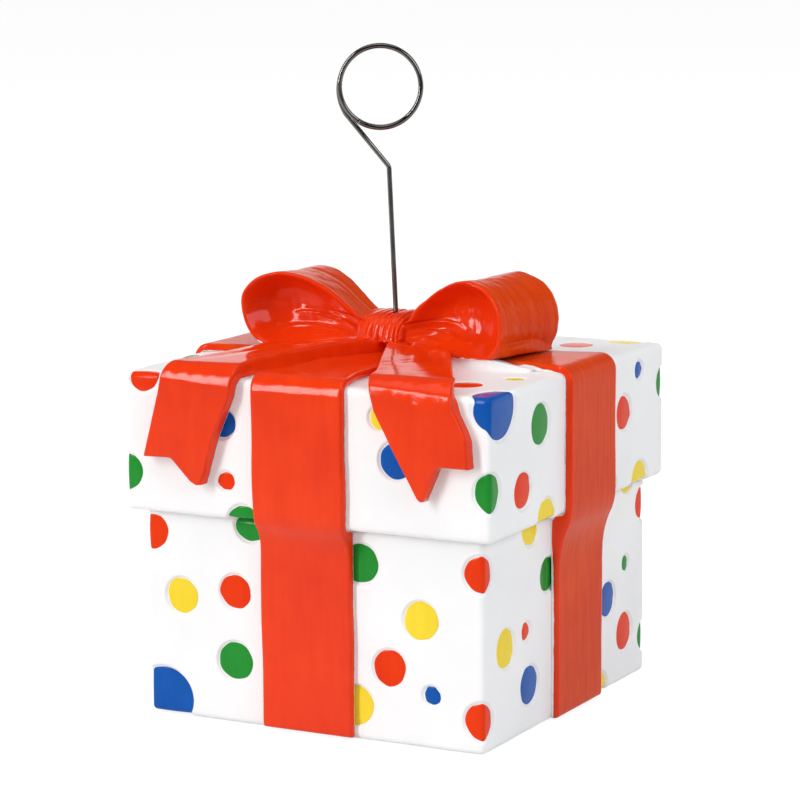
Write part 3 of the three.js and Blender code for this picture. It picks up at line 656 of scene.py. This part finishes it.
def tail_rows(across, bends):
    """Cuts across a tail: the run, the places out and up of its underside and upper side, and
    how far down it hangs."""
    root = KNOT_DEPTH / 2 - 2 - BOW_Y
    outer = lerp(*bends, across)
    side, top = LID_HALF + TAIL_THICK, LID_TOP + TAIL_THICK
    rows = []
    for run in np.linspace(0, 0.9, 52):
        out = lerp(root, LID_HALF, run)
        rows.append((run, (out, LID_TOP), (np.minimum(out, side - outer), top), 0))
    for i, angle in enumerate(np.radians(np.linspace(0, 90, 17))):
        rows.append((BEND_START + BEND_RUN * i / 16, bent(angle, LID_HALF, LID_TOP, BEND_INSIDE),
                     bent(angle, side, top, outer), 0))
    for share in np.concatenate([np.linspace(0.03, 0.9, 15), [0.935, 0.96, 0.975, 0.987, 0.995, 1]]):
        z = lerp(LID_TOP - 3, LID_TOP - TAIL_DROP, share)
        rows.append((1.1 + 0.9 * share, (LID_HALF, z), (side, np.minimum(z, top - outer)), TAIL_DROP * share))
    return rows


def tail(name, node, shape, seed):
    """A tail that spreads over the lid, bends over its front edge and ends in a notch."""
    across = spaced(15, 1.1, 22) / 15
    rows = tail_rows(across, shape["bends"])
    under = np.empty((len(rows), len(across), 3))
    upper = np.empty_like(under)
    for r, (run, low, high, droop) in enumerate(rows):
        x = lerp(soft_table(shape["left"], run), soft_table(shape["right"], run), across)
        fall = -droop * (table(shape["end"], across) - 1)
        crown = TAIL_CROWN * lerp(*shape["crowns"], across) * cos(pi / 2 * min(run, 1))
        crown *= lerp(0.6, 1, float(smooth(0.04, 0.22, run)))
        for grid, (out, z), rise in ((under, low, 0), (upper, high, crown)):
            grid[r] = np.stack(np.broadcast_arrays(x, -out, z + fall + rise), 1)
    full = norm(upper - under, axis=2)
    width = norm(np.diff(under, axis=1), axis=2)
    side = np.concatenate([np.zeros((len(rows), 1)), np.cumsum(width, 1)], 1)
    side = np.minimum(side, side[:, -1:] - side)
    last = norm(under - under[-1], axis=2)
    height = full * edge_fall(side, 0.36) * edge_fall(last, 0.3)
    runs = np.array([row[0] for row in rows])[:, None]
    for centre, breadth, amount, start, stop in shape["folds"]:
        crease = np.exp(-((across[None, :] - table(centre, runs)) / breadth) ** 2)
        height = height + amount * crease * (1 - smooth(start, stop, runs))
    # Small folds in arcs round the place where the tail leaves the knot.
    reach = norm((upper[..., :2] - shape["gather"]) * [0.8, 1], axis=2)
    height = height + 0.16 * np.cos(2 * pi * reach / 1.5) * np.exp(-(reach / 3.6) ** 2)
    sag = 0.04 + 0.04 * lumps(upper, 8, seed) + 0.02 * lumps(upper, 3, seed + 1)
    height = height - np.clip(sag, 0, 0.2)
    verts, faces, lift = strip(under, upper, height)
    piece(name, verts, faces, [RIBBON], node, paint=lift - 0.16)


tail("tail_left_paint", "tail_left", LEFT_TAIL, 41)
tail("tail_right_paint", "tail_right", RIGHT_TAIL, 43)


# Bow

def catmull(points, count):
    """A closed smooth line through the points."""
    points = np.array(points, float)
    n = len(points)
    t = np.arange(count) / count * n
    i = np.floor(t).astype(int)
    f = (t - i)[:, None]
    p0, p1, p2, p3 = (points[(i + k) % n] for k in (-1, 0, 1, 2))
    return 0.5 * (2 * p1 + (p2 - p0) * f + (2 * p0 - 5 * p1 + 4 * p2 - p3) * f ** 2
                  + (3 * p1 - p0 - 3 * p2 + p3) * f ** 3)


def loft(rings, first, last):
    """A closed mesh from rings of equal count with a point over each end."""
    rings = np.array(rings)
    rows, count, _ = rings.shape
    verts = np.concatenate([rings.reshape(-1, 3), [first, last]])
    faces = []
    total = rows * count
    for i in range(count):
        j = (i + 1) % count
        faces += [(total, j, i), (total + 1, total - count + i, total - count + j)]
        faces += [(a + i, a + j, a + count + j, a + count + i) for a in range(0, total - count, count)]
    return verts, faces


# The loops' outlines seen from the front, as shares of their reach and height. The folds in
# the dish are lines of such points with a height and widths above and below, in mm, and the
# creases have a place between the rims, a depth and a width.
LEFT_LOOP = {
    "side": -1, "reach": 26.8, "flare": 0.9, "back_drop": 1.0, "filled": 0.0,
    "creases": [(0.09, 0.05, 0.02), (0.5, 0.05, 0.03), (0.7, 0.2, 0.05)],
    "line": [(-0.12, 0.2), (-0.12, 0.34), (0, 0.42), (0.1, 0.54), (0.26, 0.765), (0.41, 0.905), (0.575, 0.985),
             (0.7, 0.98), (0.865, 0.885), (0.975, 0.7), (0.996, 0.5), (0.96, 0.28), (0.88, 0.1), (0.77, 0),
             (0.6, 0), (0.3, 0.06), (0, 0.12)],
    "folds": [
        ([(0.03, 0.16), (0.08, 0.27), (0.18, 0.335), (0.28, 0.38), (0.42, 0.43), (0.56, 0.43), (0.7, 0.38)],
         0.75, 0.3, 1.1),
        ([(0.06, 0.16), (0.2, 0.225), (0.35, 0.26), (0.5, 0.265), (0.62, 0.25), (0.72, 0.2), (0.85, 0.19)],
         0.45, 0.35, 0.9),
        ([(0.02, 0.1), (0.2, 0.15), (0.4, 0.17), (0.6, 0.14)], 0.35, 0.4, 1.0),
    ],
}
RIGHT_LOOP = {
    "side": 1, "reach": 24.2, "flare": 1.3, "back_drop": 0.3, "filled": 1.0,
    "creases": [(0.08, 0.06, 0.02), (0.3, 0.05, 0.03), (0.62, 0.07, 0.04)],
    "line": [(-0.12, 0.2), (-0.12, 0.34), (-0.02, 0.4), (0.08, 0.585), (0.25, 0.775), (0.43, 0.925), (0.6, 1),
             (0.71, 1), (0.866, 0.89), (0.97, 0.68), (1.006, 0.44), (0.985, 0.2), (0.93, 0.06), (0.84, 0),
             (0.6, 0), (0.4, 0.02), (0.2, 0.05), (0, 0.09)],
    "folds": [
        ([(-0.05, 0.31), (0.04, 0.365), (0.2, 0.41), (0.32, 0.42), (0.45, 0.38), (0.55, 0.3)], 0.65, 0.3, 1.0),
        ([(-0.05, 0.25), (0.1, 0.286), (0.27, 0.273), (0.4, 0.24), (0.47, 0.2), (0.62, 0.165), (0.78, 0.15)],
         0.5, 0.35, 1.0),
        ([(0.0, 0.18), (0.15, 0.2), (0.3, 0.17), (0.45, 0.11)], 0.4, 0.35, 0.8),
    ],
}
# How far a loop's section is drawn in, and its share of the depth of the dish
LOOP_SECTION = [(0, 0), (0.2, 0.024), (0.35, 0.072), (0.46, 0.125), (0.53, 0.178), (0.59, 0.25), (0.66, 0.365),
                (0.74, 0.53), (0.8, 0.68), (0.86, 0.84), (0.9, 0.94), (0.93, 0.985), (0.955, 1), (0.975, 0.985),
                (0.99, 0.94), (1, 0.87)]
# The dish's middle, as shares of reach and height, and the depth left there
DISH_MIDDLE = np.array([0.58, 0.53])
LOOP_WEB = 0.4
# A loop's root beside the bow's middle, and its half depths there and at its outer end
LOOP_ROOT = 4.2
ROOT_FRONT, ROOT_BACK, LOOP_HALF = 6.4, 4.2, 11.0
# The bare chip below the left loop and the top of the bare strip at the right one's foot
CHIP_AT, CHIP_SIZE = [-27.3, -10.3, 71.6], [1.1, 2, 0.6]
BARE_FOOT = 71.35


def fold_heights(u, v, reach, folds):
    """Height in mm of soft folds along lines in a dish. Each is steep above its line and
    wide below it, and fades at its outer end."""
    at = np.stack([u * reach, v * LOOP_HEIGHT], -1)[:, None]
    points = np.arange(len(at))
    total = np.zeros(len(at))
    for line, height, above, below in folds:
        line = np.array(line) * [reach, LOOP_HEIGHT]
        way = np.diff(line, axis=0)
        length = norm(way, axis=1)
        t = np.clip(((at - line[:-1]) * way).sum(2) / length ** 2, 0, 1)
        gap = at - line[:-1] - t[..., None] * way
        near = np.argmin(norm(gap, axis=2), 1)
        share = (np.cumsum(length) - length * (1 - t))[points, near] / length.sum()
        gap, way = gap[points, near], way[near]
        width = np.where(gap[:, 1] * way[:, 0] > gap[:, 0] * way[:, 1], above, below)
        fold = height * np.exp(-(norm(gap, axis=1) / width) ** 1.3)
        total = np.maximum(total, fold * (1 - smooth(0.6, 1.0, share)))
    return total


def loop(name, node, shape, seed):
    """A wide teardrop barrel with a soft dish in the front and in the back."""
    side, reach = shape["side"], shape["reach"]
    line = catmull(shape["line"], 220)
    root = BOW_X + side * LOOP_ROOT
    shrinks = 1 - (1 - np.linspace(0.02, 1, 54)) ** 1.25
    shares = np.clip(soft_table(LOOP_SECTION, shrinks, reach=6, level_start=True), 0, 1)

    def place(p, shrink, share, sign):
        """The outline shrunk toward the dish's middle, on the front (sign -1) or back."""
        uv = DISH_MIDDLE + (p - DISH_MIDDLE) * shrink
        u, v = uv[:, 0], np.maximum(uv[:, 1], 0)
        web = LOOP_WEB + (1 - LOOP_WEB) * share
        out = web * lerp(ROOT_FRONT if sign < 0 else ROOT_BACK, LOOP_HALF, smooth(0, 0.75, u))
        flare = 1 + shape["flare"] / reach * sign * web
        if sign < 0:
            out = out + fold_heights(u, v, reach, shape["folds"]) * (1 - smooth(0.75, 0.97, shrink))
        x = root + side * (u * reach * flare + 1)
        y = BOW_Y + sign * out
        z = LOOP_FOOT + v * (LOOP_HEIGHT - (shape["back_drop"] * web if sign > 0 else 0))
        return np.stack([x, y, z], 1)

    front = [place(line, s, w, -1) for s, w in zip(shrinks, shares)]
    back = [place(line, s, w, 1) for s, w in zip(shrinks, shares)]
    middle, last = (place(DISH_MIDDLE[None], 0, 0, sign)[0] for sign in (-1, 1))
    between = []
    for t in np.linspace(0, 1, 64)[1:-1]:
        ring = lerp(front[-1], back[-1], t)
        inset = 0.25 * sin(pi * t)
        inset += sum(deep * exp(-((t - at) / wide) ** 2) for at, deep, wide in shape["creases"])
        away = (ring - middle) * [1, 0, 1]
        ring = ring - away / norm(away, axis=1, keepdims=True) * inset
        # Behind the front rim the casting fills the undercut at the outer foot of the barrel.
        u = (side * (ring[:, 0] - root) - 1) / reach
        rise = ring[:, 2] - LOOP_FOOT
        full = shape["filled"] * smooth(0.01, 0.1, t) * smooth(3.2, 2.4, rise) * smooth(0.84, 0.96, u)
        ring[:, 0] += side * reach * full * np.maximum(0.99 + 0.03 * (1 - rise / 3) ** 2 - u, 0)
        ring[:, 2] -= rise * 0.85 * full * smooth(2.5, 0.5, rise)
        between.append(ring)
    rings = front + between + back[::-1]
    verts, faces = loft(rings, middle, last)
    sway = 0.10 * lumps(verts, 7, seed) + 0.04 * lumps(verts, 2.5, seed + 1) - 0.14
    away = verts - [middle[0], BOW_Y, middle[2]]
    away = away / norm(away, axis=1)[:, None]
    verts = verts + away * np.minimum(sway, 0)[:, None]
    verts[:, 2] = np.maximum(verts[:, 2], LOOP_FOOT)
    if side < 0:
        faces = [f[::-1] for f in faces]
        paint = norm((verts - CHIP_AT) / CHIP_SIZE, axis=1) - 1
        paint += 0.15 * lumps(verts, 1.3, seed + 2)
    else:
        paint = verts[:, 2] - BARE_FOOT + 2 * smooth(-8.0, -6.5, verts[:, 1])
        paint += 0.35 * lumps(verts, 3.2, seed + 2)
    # The dishes are glossy, and the ribbon's outside between their rims shows brush strokes over a red that
    # paints its sheen.
    inside = (len(front) - 1) * len(line)
    outside = len(rings) * len(line) - inside
    indices = [int(min(f) >= inside and max(f) < outside) for f in faces]
    piece(name, verts, faces, [RIBBON, SIDE_RIBBON], node, paint=np.minimum(paint, PAINTED),
          indices=indices)


loop("loop_left_paint", "bow_loop_left", LEFT_LOOP, 51)
loop("loop_right_paint", "bow_loop_right", RIGHT_LOOP, 52)

# The fill below the right loop: its front, its top and how far forward its foot reaches
FILL_FRONT = [(13, -7.5), (17, -8.8), (21, -9.7), (25, -9.9), (27.5, -9.0), (30, -8.45), (33, -8.1)]
FILL_TOP = [(13, 71.4), (25, 71.3), (28, 70.6), (30, 70.2), (33, 69.8)]
FILL_REACH = [(13, 1.8), (17, 2.4), (23, 2.2), (27, 1.6), (30, 1.0), (33, 0.4)]


def bow_fill():
    """The white casting that fills the undercut below the right loop in a hollow curve."""
    rings = []
    back, low = -7.0, LID_TOP - 0.5
    for x in np.linspace(13.0, 33.0, 70):
        front, top, reach = (soft_table(rows, x) for rows in (FILL_FRONT, FILL_TOP, FILL_REACH))
        ring = [(x, front - reach * (1 - cos(a)), lerp(top, LID_TOP - 0.12, sin(a)))
                for a in np.linspace(0, pi / 2, 14)]
        rings.append(ring + [(x, front - reach, low), (x, back, low), (x, back, top)])
    rings = np.array(rings)
    verts, faces = loft(rings, rings[0].mean(0), rings[-1].mean(0))
    verts = verts - np.array([0, 0.1, 0.06]) * lumps(verts, 3.0, 54)[:, None]
    piece("bow_fill", verts, [f[::-1] for f in faces], [PLAIN], "box_lid", paint=BARE)


bow_fill()

# The pleats of the knot: place across its width, half width, height and tilt, in mm
KNOT_PLEATS = [(0.5, 0.35, 0.2, -0.3), (1.9, 0.8, 0.3, 0.25), (3.3, 0.5, 0.38, 0.0), (4.75, 0.46, 0.42, 0.04),
               (6.1, 0.3, 0.3, 0.0), (7.35, 0.55, 0.4, 0.0), (8.45, 0.42, 0.42, -0.03), (9.5, 0.3, 0.32, 0.05),
               (10.35, 0.3, 0.28, -0.08)]
# Height of the rolled lip round the knot's foot, by the place across its width
KNOT_LIP = [(0, 2.1), (1.5, 2.2), (3.2, 2.7), (4.6, 1.9), (5.4, 1.6), (6.2, 2.3), (7.8, 2.2), (9.4, 1.8),
            (10.9, 3.2)]


def knot_section(value):
    """A round that is flattened a little toward a square."""
    return np.sign(value) * np.abs(value) ** 0.72


def knot():
    """The squat knot round the loops' roots, with uneven pleats and a rolled lip at its foot."""
    steps = sides = 200
    half = KNOT_HEIGHT / 2
    middle = BAND_TOP + half
    rings = []
    angle = 2 * pi * np.arange(sides) / sides
    for i in range(steps + 1):
        along = i / steps * KNOT_WIDTH
        # The pleats lean and wander round the knot.
        lean = along - 0.75 * np.sin(angle + 0.2) + 0.12 * np.sin(3 * angle + 1.1)
        pleat = sum((high + tilt * (lean - at)) * np.exp(-(np.abs(lean - at) / wide) ** 5)
                    for at, wide, high, tilt in KNOT_PLEATS)
        pleat = pleat * (0.85 + 0.15 * np.sin(2 * angle + 0.7 * along))
        ends = min(along, KNOT_WIDTH - along)
        shoulder = 0.9 * max(0.0, 1 - ends / 1.6) ** 2
        waist = 0.25 * sin(pi * i / steps)
        inset = shoulder + waist - pleat + 0.3
        # A dimple pressed into the knot's top
        dimple = 0.5 * exp(-((along - 6.3) / 1.1) ** 2) * np.exp(-((angle - 1.75) / 0.3) ** 2)
        x = KNOT_X - KNOT_WIDTH / 2 + along
        z = middle + (half - inset - dimple) * knot_section(np.sin(angle))
        over_lip = z - BAND_TOP - soft_table(KNOT_LIP, along)
        lip = 0.7 * np.exp(-(over_lip / 0.42) ** 2) * (1 - shoulder)
        slant = 0.2 * (middle - z) * np.clip(np.cos(angle), 0, 1)
        y = BOW_Y - slant - (KNOT_DEPTH / 2 - inset + lip) * knot_section(np.cos(angle))
        rings.append(np.stack([np.full(sides, x), y, np.maximum(z, BAND_TOP)], 1))
    ends = ([rings[i][0][0], BOW_Y, middle] for i in (0, -1))
    verts, faces = loft(rings, *ends)
    piece("knot_paint", verts, faces, [RIBBON], "bow_knot", paint=PAINTED)


knot()


# Wire

# The turn of the wire's upright plane, and the lean of its stem in that plane
WIRE_TURN, STEM_LEAN = radians(28), radians(2.25)
# Where the stem enters the knot, its length up from there, and its foot in the blind hole
STEM_ENTRY = np.array([-0.4, -0.85, KNOT_TOP])
STEM_RISE = 28.9
STEM_FOOT = LID_TOP - 3 + 0.3
BEND_RADIUS = 1.6
# The ring's centre beside and above the stem's entry, its radius, and the wider radius at its
# start, from which it settles over so many degrees
RING_SIDE, RING_RISE = -2.75, 44.9
RING_RADIUS = 8.05
RING_WIDE, RING_SETTLE = 8.8, 75
# The ring's whole turn in degrees, and how far one turn lies in front of the last
RING_SWEEP = 703
RING_PITCH = 1.5
# The length over which the wire's ends are rounded, and the share of its radius left there
TIP_LENGTH, TIP_FACE = 0.25, 0.55


def wire_points():
    """The centre line of the wire: stem, bend, slanted run and two turns of a ring."""
    across = np.array([cos(WIRE_TURN), sin(WIRE_TURN), 0])
    up = np.array([0.0, 0, 1])
    front = np.cross(across, up)
    along = up * cos(STEM_LEAN) - across * sin(STEM_LEAN)
    foot = STEM_ENTRY - along * (KNOT_TOP - STEM_FOOT) / along[2]
    corner = STEM_ENTRY + along * STEM_RISE
    reach = np.array([RING_SIDE - (corner - STEM_ENTRY) @ across, RING_RISE - (corner[2] - STEM_ENTRY[2])])
    heading = atan2(-reach[0], reach[1]) + asin(RING_WIDE / norm(reach))
    away = -across * sin(heading) + up * cos(heading)
    cut = BEND_RADIUS * tan(acos(along @ away) / 2)
    points = [lerp(foot, corner - along * cut, t) for t in np.linspace(0, 1, 30)[:-1]]
    for t in np.linspace(0, 1, 9):
        points.append(lerp(corner - along * cut * (1 - t), corner + away * cut * t, t))
    ring = []
    steps = 360
    for i in range(steps + 1):
        swept = RING_SWEEP * i / steps
        radius = lerp(RING_RADIUS, RING_WIDE, max(0, 1 - swept / RING_SETTLE) ** 2)
        angle = pi + heading - radians(swept)
        side = RING_SIDE + radius * cos(angle)
        rise = RING_RISE + radius * sin(angle)
        ring.append(STEM_ENTRY + across * side + up * rise + front * (RING_PITCH * swept / 360))
    points += [lerp(points[-1], ring[0], t) for t in np.linspace(0, 1, 10)[1:-1]]
    return np.array(points + ring)


def wire():
    """The wire as one unbroken round rod with slightly rounded ends."""
    points = wire_points()
    tangent = np.gradient(points, axis=0)
    tangent /= norm(tangent, axis=1, keepdims=True)
    normal = np.cross(tangent[0], [0, 1, 0])
    sides = 20
    angle = 2 * pi * np.arange(sides) / sides
    frames = []
    for p, t in zip(points, tangent):
        normal = normal - t * (normal @ t)
        normal /= norm(normal)
        frames.append((p, t, normal, np.cross(t, normal)))

    def ring(p, n, o, share=1.0):
        return p + WIRE / 2 * share * (np.cos(angle)[:, None] * n + np.sin(angle)[:, None] * o)

    def tip(p, inward, n, o):
        return [ring(p + inward * TIP_LENGTH * (1 - sin(a)), n, o, lerp(TIP_FACE, 1, sin(a)))
                for a in np.radians([15, 45, 70])]

    p, t, n, o = frames[0]
    rings = tip(p, t, n, o) + [ring(p, n, o) for p, _, n, o in frames[2:-2]]
    p, t, n, o = frames[-1]
    rings += tip(p, -t, n, o)[::-1]
    verts, faces = loft(rings, points[0], points[-1])
    piece("wire_steel", verts, faces, [STEEL], "wire_clip", body="wire")


wire()


def pad():
    """The felt pad under the box, with softly rounded edges."""
    block = (PAD_HALF, 0.0, PAD_TOP, PAD_EDGE)
    q, tris = block_grid(*block, 3.5)
    at, normal = rounded(q, *block)
    at = at - normal * (0.02 + 0.02 * lumps(at, 6, 71))[:, None]
    at[:, 2] = np.clip(at[:, 2], 0, PAD_TOP)
    piece("base_felt_pad", at, tris, [FELT], "base_pad")


pad()


# Stage, in metres

CAMERA_AT = np.array([0.2947781, -0.5523394, 0.1630728])
AZIMUTH, ELEVATION, ROLL = radians(28.0944), radians(9.3233), radians(-0.4394)
LENS = 141.33
FILM_WIDTH = 36
BOX_MIDDLE = Vector((0, 0, 0.05))
FLOOR_HALF = 12.0
FLOOR_GLOW = 0.86
FLOOR_SHADE = (0.27, 0.27, 0.27, 1)
# In reflections the white floor ends here in front of the box, in a dark room, and the white
# backdrop at this height angle, below a dim ceiling.
TABLE_END, FRONT_DARK = 0.12, 0.1
BACKDROP_TOP, CEILING = radians(16), 0.15
# How strongly the world lights the object
FILL = 0.42


def outward(azimuth, elevation):
    """The unit way out from the box at an angle round from its front, and up."""
    level = cos(elevation)
    return np.array([sin(azimuth) * level, -cos(azimuth) * level, sin(elevation)])


def camera():
    """The photo's camera, fitted to the edges of the box."""
    back = outward(AZIMUTH, ELEVATION)
    level_right = np.array([cos(AZIMUTH), sin(AZIMUTH), 0])
    level_up = np.cross(back, level_right)
    right = cos(ROLL) * level_right + sin(ROLL) * level_up
    up = -sin(ROLL) * level_right + cos(ROLL) * level_up
    data = put(bpy.data.cameras.new("camera"), lens=LENS, sensor_width=FILM_WIDTH, clip_end=50)
    obj = placed("camera", data)
    obj.matrix_world = Matrix([[right[i], up[i], back[i], CAMERA_AT[i]] for i in range(3)] + [[0, 0, 0, 1]])
    bpy.context.scene.camera = obj


def lamp(name, azimuth, elevation, away, width, height, radiance, tint=(1, 1, 1)):
    """A flat lamp that faces the box, with a face as bright as radiance, where 1 is white."""
    data = put(bpy.data.lights.new(name, "AREA"), shape="RECTANGLE", size=width, size_y=height,
               energy=radiance * pi * width * height, color=tint)
    obj = placed(name, data)
    way = Vector(outward(radians(azimuth), radians(elevation)))
    obj.location = BOX_MIDDLE + way * away
    obj.rotation_euler = (BOX_MIDDLE - obj.location).to_track_quat("-Z", "Y").to_euler()


def ray_kinds(tree):
    """Whether a ray comes from the camera, and whether it comes off gloss or through glass."""
    path = add(tree, "LightPath").outputs
    return path["Is Camera Ray"], maths("MAXIMUM", path["Is Glossy Ray"], path["Is Transmission Ray"])


def front_dark(where, start, stop):
    """One, and FRONT_DARK past stop toward the front right, where the photo was taken from."""
    place = add(where.id_data, "SeparateXYZ", Vector=where).outputs
    right, front = maths("MULTIPLY", place["X"], sin(AZIMUTH)), maths("MULTIPLY", place["Y"], -cos(AZIMUTH))
    return ranged(maths("ADD", right, front), start, stop, 1.0, FRONT_DARK)


def floor():
    """A pale floor that shows nearly white and keeps a faint shadow."""
    mesh = bpy.data.meshes.new("floor")
    corners = [(-1, -1), (1, -1), (1, 1), (-1, 1)]
    mesh.from_pydata([(x * FLOOR_HALF, y * FLOOR_HALF, 0) for x, y in corners], [], [(0, 1, 2, 3)])
    material, tree, shader = tree_of("floor_white")
    put(shader, Base_Color=(0.8, 0.8, 0.8, 1), Roughness=0.9, Specular_IOR_Level=0.0)
    table_white = front_dark(add(tree, "TexCoord").outputs["Object"], TABLE_END, TABLE_END + 0.2)
    camera_ray, mirror_ray = ray_kinds(tree)
    strength = maths("MULTIPLY", maths("MAXIMUM", camera_ray, table_white), FLOOR_GLOW)
    glow = add(tree, "Emission", Color=(1, 1, 1, 1), Strength=strength)
    shade = add(tree, "BsdfDiffuse", Color=FLOOR_SHADE)
    both, choice = add(tree, "AddShader"), add(tree, "MixShader")
    link(glow.outputs[0], both.inputs[0])
    link(shade.outputs[0], both.inputs[1])
    link(maths("MAXIMUM", camera_ray, mirror_ray), choice.inputs[0])
    link(shader.outputs[0], choice.inputs[1])
    link(both.outputs[0], choice.inputs[2])
    link(choice.outputs[0], tree.nodes["Material Output"].inputs["Surface"])
    mesh.materials.append(material)
    placed("floor", mesh)


def world():
    """White behind the box, and in reflections the backdrop, ceiling and dark front."""
    studio = bpy.data.worlds.new("studio")
    bpy.context.scene.world = studio
    studio.use_nodes = True
    tree = studio.node_tree
    way = add(tree, "TexCoord").outputs["Generated"]
    height = add(tree, "SeparateXYZ", Vector=way).outputs["Z"]
    top = sin(BACKDROP_TOP)
    backdrop = maths("MULTIPLY", ranged(height, top, top + 0.1, 1.0, CEILING), front_dark(way, 0.1, 0.5))
    camera_ray, mirror_ray = ray_kinds(tree)
    shown = maths("MAXIMUM", camera_ray, maths("MULTIPLY", mirror_ray, backdrop))
    diffuse = maths("SUBTRACT", 1.0, maths("MAXIMUM", camera_ray, mirror_ray))
    strength = maths("ADD", shown, maths("MULTIPLY", diffuse, FILL))
    put(tree.nodes["Background"], Color=(1, 1, 1, 1), Strength=strength)


camera()
world()
floor()
lamp("lamp_key", -31, 23, 1.6, 0.21, 1.3, 17.0)
lamp("lamp_side", 78, 32, 1.6, 0.9, 0.9, 3.7, (0.90, 0.945, 1.0))
lamp("lamp_top", -10, 82, 1.5, 1.2, 1.2, 1.4)
bpy.context.scene.view_settings.view_transform = "Standard"
